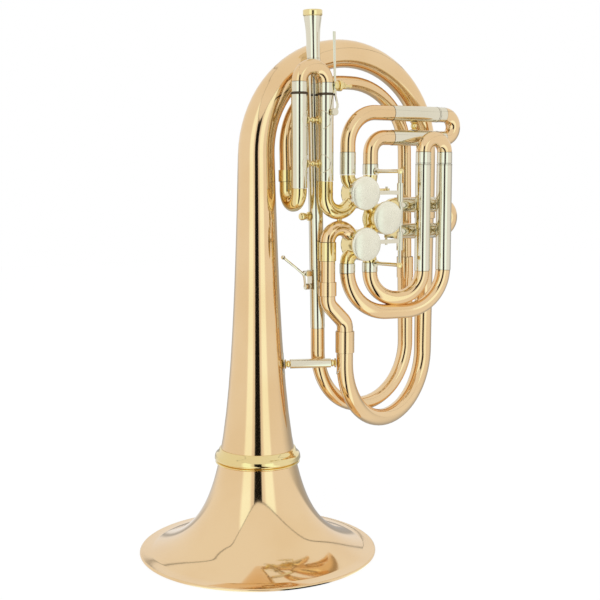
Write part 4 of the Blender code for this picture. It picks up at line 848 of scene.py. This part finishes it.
def outer_tube(name, node, corners, bends, ferrule, slide, base=GOLD):
    """A bent tube with a nickel ferrule at its start and the slide's ringed outer tube at its end."""
    sizes = bpy.context.scene.trumpet_sizes
    total = run_length(corners, bends)
    mouth = total - 0.0012
    first = total - slide if slide < total - 0.0001 else 0
    bands = [(0, ferrule, sizes.slide_tube, NICKEL)] if ferrule else []
    bands.append((first, mouth, sizes.slide_tube, NICKEL))
    bands.append((mouth, total, sizes.slide_tube + 0.0001, NICKEL))
    tube(node, name, corners, bends, sizes.valve_tube, base, bands, sizes.slide_wall)


def ball_stay(name, start, end, waist, flange):
    """A turned stay: a flange at each end, a neck and a ball in the middle."""
    half = (end - start).length / 2
    neck = waist * 0.55
    side = [(0.0, half), (flange - 0.0003, half), (flange, half - 0.0003), (flange, half - 0.0011)]
    side += [(flange - 0.0004, half - 0.0014), (neck * 1.15, half - 0.0022), (neck, half - 0.003)]
    side = [point for point in side if point[1] > waist * 0.8]
    for degrees in range(60, 0, -20):
        angle = math.radians(degrees)
        side.append((max(waist * math.cos(angle), neck), waist * math.sin(angle)))
    profile = side + [(waist, 0.0)] + [(radius, -height) for radius, height in reversed(side)]
    return turned(name, profile, YELLOW, (start + end) / 2, end - start)


def saddle(name, place, degrees, skin, wide, tall):
    """A thin oval plate wrapped on an upright tube. Skin is the tube's radius or a function of the height."""
    place = Vector(place)
    wall = 0.0005
    proud = 0.0003
    shape = bmesh.new()
    bmesh.ops.create_circle(shape, cap_ends=True, segments=40, radius=1.0)
    for inset in (0.25, 0.25, 0.2):
        bmesh.ops.inset_region(shape, faces=shape.faces[-1:], thickness=inset, use_even_offset=True)
    bmesh.ops.triangulate(shape, faces=[face for face in shape.faces if len(face.verts) > 4])
    for vert in shape.verts:
        angle = math.radians(degrees) + vert.co.x * wide
        rise = vert.co.y * tall
        out = value_at(skin, place.z + rise) + proud
        vert.co = Vector((math.cos(angle) * out, math.sin(angle) * out, rise)) + place
    face_away(shape, shape.faces, place)
    return walled(finished(shape, name, [NICKEL]), wall)


def ringed_tube(side, mouth, foot, sizes):
    """An outer tube with a raised ring at its mouth in the seam finish: solder with painted shade of the gap
    there.
    """
    outer = sizes.slide_tube
    bore = outer - sizes.slide_wall
    drop = mouth.z - foot
    profile = [
        (outer + 0.0004, 0.0), (outer + 0.0006, -0.0002), (outer + 0.0006, -0.0014),
        (outer + 0.0004, -0.0016), (outer, -0.0017), (outer, -drop), (bore, -drop), (bore, 0.0),
    ]

    def paint(radius, _):
        return SEAM_SHADE if radius > outer + 0.0001 else None

    return turned(f"tuning_outer_tube_{side}", profile, NICKEL, mouth, closed=True, paint=paint)


def water_nipple(outer):
    """The drilled nipple, to the right of the right tube's middle line."""
    aside = 0.0025
    surface = VALVE_Y - math.sqrt(outer**2 - aside**2)
    place = (TUNING_RIGHT + aside, surface, 0.3858)
    profile = mm((2.4, -0.3), (2.4, 1.3), (2.1, 1.6), (1.2, 1.6), (1.2, -0.3))
    nipple = turned("tuning_water_nipple", profile, YELLOW, place, (0, -1, 0), closed=True, steps=24)
    attach(nipple, "tuning_slide_tubes")


class TRUMPET_OT_tuning_slide(bpy.types.Operator):
    """Carry the tuning slide and turn its outer tubes, ball stays with their plates and water nipple"""

    bl_idname = "trumpet.tuning_slide"
    bl_label = "Tuning Slide"

    def execute(self, context):
        sizes = context.scene.trumpet_sizes
        outer = sizes.slide_tube
        mouths = on_plane((TUNING_LEFT, 0.4016), (TUNING_RIGHT, 0.4016))
        pulled_slide("tuning_slide_bow", "tuning_slide", mouths, (0, 0, 1), 0.0087, 0.06)
        carry(ringed_tube("left", mouths[0], 0.3217, sizes), "tuning_slide_tubes")
        attach(ringed_tube("right", mouths[1], 0.3276, sizes), "tuning_slide_tubes")
        sunk = 0.0002
        for number, height in enumerate((0.3792, 0.3423), 1):
            start, end = on_plane((TUNING_LEFT + outer - sunk, height), (TUNING_RIGHT - outer + sunk, height))
            attach(ball_stay(f"tuning_stay_{number}", start, end, 0.0024, 0.0036), "tuning_slide_tubes")
            for side, mouth, degrees in zip(("left", "right"), mouths, (0, 180)):
                place = (mouth.x, VALVE_Y, height)
                plate = saddle(f"tuning_plate_{number}_{side}", place, degrees, outer, 1.75, 0.0082)
                attach(plate, "tuning_slide_tubes")
        water_nipple(outer)
        corners = [(TUNING_RIGHT, VALVE_Y, 0.3273), port(0, 225, 0.0345 * math.sqrt(2)), port(0, 225, 0.015)]
        tube("inlet_bend", "inlet_bend_tube", corners, (0.0131,), sizes.valve_tube, YELLOW)
        return {"FINISHED"}


def first_slide():
    """Both tubes rise from the valve and turn to the right, one above the other."""
    base = VALVES[0].z + LEG_END + JOINT_GAP
    mouth = 0.167
    heights = (0.387, 0.3656)
    rows = (
        ("slide1_upper_tube", VALVES[0].x - LEG, heights[0], 0.028, 0.3523 - base),
        ("slide1_lower_tube", VALVES[0].x + LEG, heights[1], 0.014, 0.3422 - base),
    )
    for node, across, height, bend, ferrule in rows:
        corners = on_plane((across, base), (across, height), (mouth, height))
        outer_tube(f"{node}_bend", node, corners, (bend,), ferrule, 0.0498)
    mouths = on_plane(*((mouth, height) for height in heights))
    pulled_slide("slide1_bow", "slide1", mouths, (1, 0, 0), 0.0074, 0.038)
    across = 0.1417
    inset = 0.0072
    start, end = on_plane((across, heights[0] - inset), (across, heights[1] + inset))
    carry(ball_stay("slide1_brace_turned", start, end, 0.003, 0.0038), "slide1_brace")


def second_slide():
    """Both tubes run straight to the right."""
    base = VALVES[1].x + LEG_END + JOINT_GAP
    mouth = 0.164
    heights = (VALVES[1].z + LEG, VALVES[1].z - LEG)
    for node, height in zip(("slide2_upper_tube", "slide2_lower_tube"), heights):
        corners = on_plane((base, height), (mouth, height))
        outer_tube(f"{node}_run", node, corners, (), 0, mouth - base, NICKEL)
    mouths = on_plane(*((mouth, height) for height in heights))
    pulled_slide("slide2_bow", "slide2", mouths, (1, 0, 0), 0.0075, 0.034)


def third_slide():
    """Both loops turn up in front of the valves' plane, where the long legs stand."""
    base = VALVES[2].z - LEG_END - JOINT_GAP
    mouth = 0.3429
    change = 0.2475
    outer = 0.1649
    inner = outer - 0.0234
    front = -0.049
    bend = math.hypot(inner - VALVES[2].x - LEG, front - VALVE_Y) / 2
    rows = (
        ("slide3_outer_loop", VALVES[2].x - LEG, outer, 0.2115, 0.038),
        ("slide3_inner_loop", VALVES[2].x + LEG, inner, change - bend, bend * 0.999),
    )
    for node, left, right, low, turn in rows:
        corners = [(left, VALVE_Y, base), (left, VALVE_Y, low), (right, front, low), (right, front, mouth)]
        outer_tube(f"{node}_bend", node, corners, (turn, turn), base - change, mouth - change)
    mouths = [Vector((across, front, mouth)) for across in (inner, outer)]
    pulled_slide("slide3_bow", "slide3", mouths, (0, 0, 1), 0.0098, 0.08)


class TRUMPET_OT_valve_slides(bpy.types.Operator):
    """Carry the three valve slides and their fixed tubes"""

    bl_idname = "trumpet.valve_slides"
    bl_label = "Valve Slides"

    def execute(self, context):
        first_slide()
        second_slide()
        third_slide()
        return {"FINISHED"}


# Valves, levers and keys


def squeezed(centre, back):
    """The short back of the valves in the photograph: all but the spindle ends before it."""
    spindle = 0.0045

    def moved(place):
        if math.hypot(place.x - centre.x, place.z - centre.z) < spindle:
            return place
        return Vector((place.x, min(place.y, centre.y + back), place.z))

    return moved


def cork_holder(valve):
    """The corks' metal holder: all that lies further from both corks' middles than their radius."""
    cork = 0.00205
    ends = [port(valve, degrees, 0.0082) for degrees in (-17, 197)]

    def metal(place):
        return min(math.hypot(place.x - end.x, place.z - end.z) for end in ends) > cork

    return metal


class TRUMPET_OT_valves(bpy.types.Operator):
    """Turn the valve caps and finish the casings, rotors, cranks, links and stops"""

    bl_idname = "trumpet.valves"
    bl_label = "Valves"

    def execute(self, context):
        back = context.scene.trumpet_sizes.casing_back
        boss = mm(
            (0, 19), (4.2, 19), (5, 18.5), (5.3, 17.6), (5.3, 16), (4.7, 15.6), (4.7, 14.8), (5.6, 14.4),
            (6.2, 13.8),
        )
        plate = mm((6.2, 3.6), (6.8, 2.6), (11.6, 1.6), (13.2, 1.1), (13.5, 0.6), (13.5, 0.1), (5, 0.1))
        plate = [(radius, back + height) for radius, height in plate]
        profile = boss + plate + mm((4.6, 13.2), (0, 13.2))
        for number, centre in enumerate(VALVES, 1):
            squeeze = squeezed(centre, back)
            polished_node(f"valve_casing_{number}", YELLOW, shift=squeeze)
            polished_node(f"rotor_{number}", NICKEL, shift=squeeze)
            polished_node(f"crank_{number}", YELLOW)
            polished_node(f"link_{number}", YELLOW)
            polished_node(f"stop_corks_{number}", CORK, apart=cork_holder(number - 1), other=NICKEL)
            cap = turned(f"rear_cap_{number}", profile, YELLOW, centre, (0, 1, 0))
            carry(cap, f"valve_cap_{number}")
        return {"FINISHED"}


def hinge_ball(place):
    """The hinge rod's gilt ball at each end."""
    return place.x > 0.0985 and (place.z > 0.3325 or place.z < 0.259)


class TRUMPET_OT_levers(bpy.types.Operator):
    """Turn the pearl touch pieces with their gilt rims, and finish the levers and their hinge"""

    bl_idname = "trumpet.levers"
    bl_label = "Levers"

    def execute(self, context):
        rim = context.scene.trumpet_sizes.touch_radius
        pearl = rim - 0.0001
        ring = [
            (0.0, 0.0003), (rim - 0.0009, 0.0003), (rim - 0.0002, 0.0006), (rim, 0.001), (rim, 0.0018),
            (rim - 0.0002, 0.0021), (0.0, 0.0021),
        ]
        dome = [(0.0, 0.0064)]
        for degrees in range(8, 91, 6):
            lean = math.radians(degrees)
            dome.append((pearl * math.sin(lean), 0.0024 + 0.004 * math.cos(lean)))
        dome += [(pearl, 0.0022), (0.0, 0.0022)]
        front = (0, -1, 0)
        rows = ((0.0624, 0.3176), (0.0848, 0.2967), (0.0634, 0.275))
        for number, (across, height) in enumerate(rows, 1):
            place = (across, -0.0745, height)
            polished_node(f"lever_{number}", NICKEL)
            attach(turned(f"touch_rim_{number}", ring, YELLOW, place, front), f"lever_{number}")
            carry(turned(f"touch_dome_{number}", dome, PEARL, place, front), f"touch_piece_{number}")
        polished_node("lever_hinge", NICKEL, apart=hinge_ball, other=YELLOW)
        return {"FINISHED"}


def moved_key(place):
    """The key's rod to the left and wider at its top, as in the photograph."""
    left = 0.0031
    shoulder = 0.389
    top = 0.412
    middle = 0.0586
    if place.z > top:
        wide = 1.0 + 0.5 * min((place.z - top) / 0.03, 1.0)
        return Vector((middle - left + (place.x - middle) * wide, place.y, place.z))
    part = min(max((place.z - shoulder) / 0.01, 0.0), 1.0)
    return Vector((place.x - left * part, place.y, place.z))


class TRUMPET_OT_water_keys(bpy.types.Operator):
    """Finish both water keys with their corks and saddle, and turn the upper key's gilt barrel"""

    bl_idname = "trumpet.water_keys"
    bl_label = "Water Keys"

    def execute(self, context):
        polished_node("water_key", NICKEL, shift=moved_key)
        polished_node("water_key_cork", CORK)
        polished_node("water_key_post", YELLOW)
        polished_node("lower_water_key", NICKEL)
        polished_node("lower_key_cork", CORK)
        polished_node("lower_key_saddle", NICKEL)
        profile = mm(
            (2.4, 0), (3.6, 0), (4, 0.4), (4, 3.2), (3.6, 3.6), (3, 4), (3, 4.6), (4.6, 5), (4.8, 5.4),
            (4.8, 7.2), (4.6, 7.6), (3, 8), (3, 9.8), (2.4, 10),
        )
        barrel = turned("key_barrel", profile, YELLOW, (0.0548, -0.037, 0.4085), (1, 0, 0), closed=True)
        attach(barrel, "water_key_post")
        return {"FINISHED"}


def moved_strut(place):
    """The strut further to the right, where the second touch piece covers it, and longer for that."""
    middle = VALVES[1].z
    return Vector((place.x + 0.007, place.y, middle + (place.z - middle) * 1.25))


def bell_brace(sizes):
    """A nickel tube with a turned ball and flange at each end, between oval plates on both tubes."""
    height = 0.1681
    gap = 0.001
    gilt = 0.0047
    degrees = -38
    bow = Vector((BOW_X, VALVE_Y, 0))
    turn = math.radians(degrees)
    near = Vector((math.cos(turn), math.sin(turn), 0)) * (bell_radius(height) + gap)
    far = bow - Vector((math.cos(turn / 2), math.sin(turn / 2), 0)) * (sizes.bell_tube + gap)
    half = (far - near).length / 2
    knob = mm(
        (0, 0), (3.8, 0), (4.2, 0.3), (4.2, 0.7), (3.8, 1), (2, 1.4), (2.2, 1.8), (3, 2.2), (3.3, 3),
        (3, 3.8), (2.2, 4.2), (2.2, 4.6), (3.9, 4.6), (4.1, 4.8),
    )
    profile = [(radius, half - reach) for radius, reach in knob]
    profile += [(radius, reach - half) for radius, reach in reversed(knob)]

    def paint(_, along):
        return YELLOW if abs(along) > half - gilt else None

    middle = (near + far) / 2 + Vector((0, 0, height))
    carry(turned("bell_brace_turned", profile, NICKEL, middle, far - near, paint=paint), "bell_brace")
    plate = saddle("brace_plate_bell", (0, 0, height), degrees, bell_radius, 0.22, 0.0105)
    attach(plate, "bell_brace")
    bow.z = height
    attach(saddle("brace_plate_bow", bow, 161, sizes.bell_tube, 0.75, 0.0105), "bell_brace")


class TRUMPET_OT_fittings(bpy.types.Operator):
    """Turn the bell brace and the bend stay, and finish the lyre screw and the casing strut"""

    bl_idname = "trumpet.fittings"
    bl_label = "Fittings"

    def execute(self, context):
        polished_node("lyre_screw", YELLOW)
        polished_node("casing_strut", YELLOW, shift=moved_strut)
        bell_brace(context.scene.trumpet_sizes)
        low, high = on_plane((0.0634, 0.2905), (0.0634, 0.2985))
        carry(ball_stay("bend_stay_turned", low, high, 0.0024, 0.0034), "bend_stay")
        return {"FINISHED"}


# Stage


def set_camera(scene, stage):
    """The photograph's view, from the front left and a little above."""
    place = BELL_AXIS + Vector((-0.445, -0.846, 0.333))
    ahead = Vector((0.4968, 0.8605, -0.1132)).normalized()
    right = CAMERA_RIGHT.to_3d().normalized()
    camera = bpy.data.cameras.new("photo_camera")
    camera.lens = stage.lens
    eye = bpy.data.objects.new("photo_camera", camera)
    turn = Matrix((right, right.cross(ahead), -ahead)).transposed().to_4x4()
    eye.matrix_world = Matrix.Translation(place) @ turn
    scene.collection.objects.link(eye)
    scene.camera = eye


def set_floor(stage):
    """A large sheet a hair below the lowest point."""
    shape = bmesh.new()
    bmesh.ops.create_grid(shape, x_segments=8, y_segments=8, size=3.0)
    bmesh.ops.translate(shape, vec=-BELL_AXIS - Vector((0, 0, 0.0002)), verts=shape.verts)
    floor_finish(stage)
    finished(shape, "studio_floor", [FLOOR])


def set_lamps(scene, stage):
    aim = BELL_AXIS + Vector((0.05, 0, 0.2))
    rows = (("key", (-0.9, -1.3, 1.9), 1.0, 1.2), ("fill", (1.2, -0.9, 1.2), 0.4, 1.6))
    for name, place, part, size in rows:
        light = bpy.data.lights.new(f"studio_{name}", "AREA")
        light.energy = stage.key * part
        light.size = size
        lamp = bpy.data.objects.new(f"studio_{name}", light)
        lamp.visible_glossy = False
        place = BELL_AXIS + Vector(place)
        turn = (aim - place).to_track_quat("-Z", "Y").to_matrix().to_4x4()
        lamp.matrix_world = Matrix.Translation(place) @ turn
        scene.collection.objects.link(lamp)


def set_world(scene, stage):
    """White for the camera. The metal sees a pale room with a dark slit and two panels at the camera."""
    world = bpy.data.worlds.new("studio")
    world.use_nodes = True
    scene.world = world
    shader = Shader(world.node_tree)
    tint, light = room_light(shader, shader.node("TexCoord", output="Generated"), stage)
    seen = shader.seen()
    values = {"Color": shader.mix(seen, tint, WHITE), "Strength": light * (1.0 - seen) + seen}
    back = shader.node("Background", {}, values)
    shader.node("OutputWorld", {}, {"Surface": back})


class TRUMPET_OT_stage(bpy.types.Operator):
    """Set the white floor, the lamps, the surroundings and the camera"""

    bl_idname = "trumpet.stage"
    bl_label = "Stage"

    def execute(self, context):
        stage = context.scene.trumpet_stage
        set_camera(context.scene, stage)
        set_floor(stage)
        set_lamps(context.scene, stage)
        set_world(context.scene, stage)
        context.scene.view_settings.view_transform = "Standard"
        return {"FINISHED"}


class TRUMPET_OT_finishes(bpy.types.Operator):
    """Make the procedural finishes"""

    bl_idname = "trumpet.finishes"
    bl_label = "Finishes"

    def execute(self, context):
        looks = context.scene.trumpet_finishes
        metal_finish(GOLD, looks.gold, looks.gold_deep, looks, looks.lacquer)
        metal_finish(YELLOW, looks.yellow, looks.yellow_deep, looks, looks.lacquer)
        metal_finish(NICKEL, looks.nickel, looks.nickel_deep, looks, 0.0)
        seam_shade_finish(looks)
        pearl_finish(looks)
        cork_finish(looks)
        return {"FINISHED"}


class TRUMPET_PT_panel(bpy.types.Panel):
    """The steps and sizes of the bass trumpet"""

    bl_idname = "TRUMPET_PT_panel"
    bl_label = "Bass Trumpet"
    bl_space_type = "VIEW_3D"
    bl_region_type = "UI"
    bl_category = "Trumpet"

    def draw(self, context):
        for step in STEPS:
            self.layout.operator(step.bl_idname)
        for name in GROUPS:
            group = getattr(context.scene, name)
            box = self.layout.box()
            for prop in group.__annotations__:
                box.prop(group, prop)


GROUPS = {"trumpet_sizes": TrumpetSizes, "trumpet_finishes": TrumpetFinishes, "trumpet_stage": TrumpetStage}
STEPS = (
    TRUMPET_OT_finishes, TRUMPET_OT_bell, TRUMPET_OT_main_run, TRUMPET_OT_leadpipe,
    TRUMPET_OT_tuning_slide, TRUMPET_OT_valve_slides, TRUMPET_OT_valves, TRUMPET_OT_levers,
    TRUMPET_OT_water_keys, TRUMPET_OT_fittings, TRUMPET_OT_stage,
)
CLASSES = (*GROUPS.values(), *STEPS, TRUMPET_PT_panel)


def register():
    for made in CLASSES:
        bpy.utils.register_class(made)
    for name, group in GROUPS.items():
        setattr(bpy.types.Scene, name, PointerProperty(type=group))


def unregister():
    for name in GROUPS:
        delattr(bpy.types.Scene, name)
    for made in reversed(CLASSES):
        bpy.utils.unregister_class(made)


def main():
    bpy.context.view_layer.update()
    register()
    bpy.ops.trumpet.finishes()
    bpy.ops.trumpet.bell()
    bpy.ops.trumpet.main_run()
    bpy.ops.trumpet.leadpipe()
    bpy.ops.trumpet.tuning_slide()
    bpy.ops.trumpet.valve_slides()
    bpy.ops.trumpet.valves()
    bpy.ops.trumpet.levers()
    bpy.ops.trumpet.water_keys()
    bpy.ops.trumpet.fittings()
    bpy.ops.trumpet.stage()


if __name__ == "__main__":
    main()
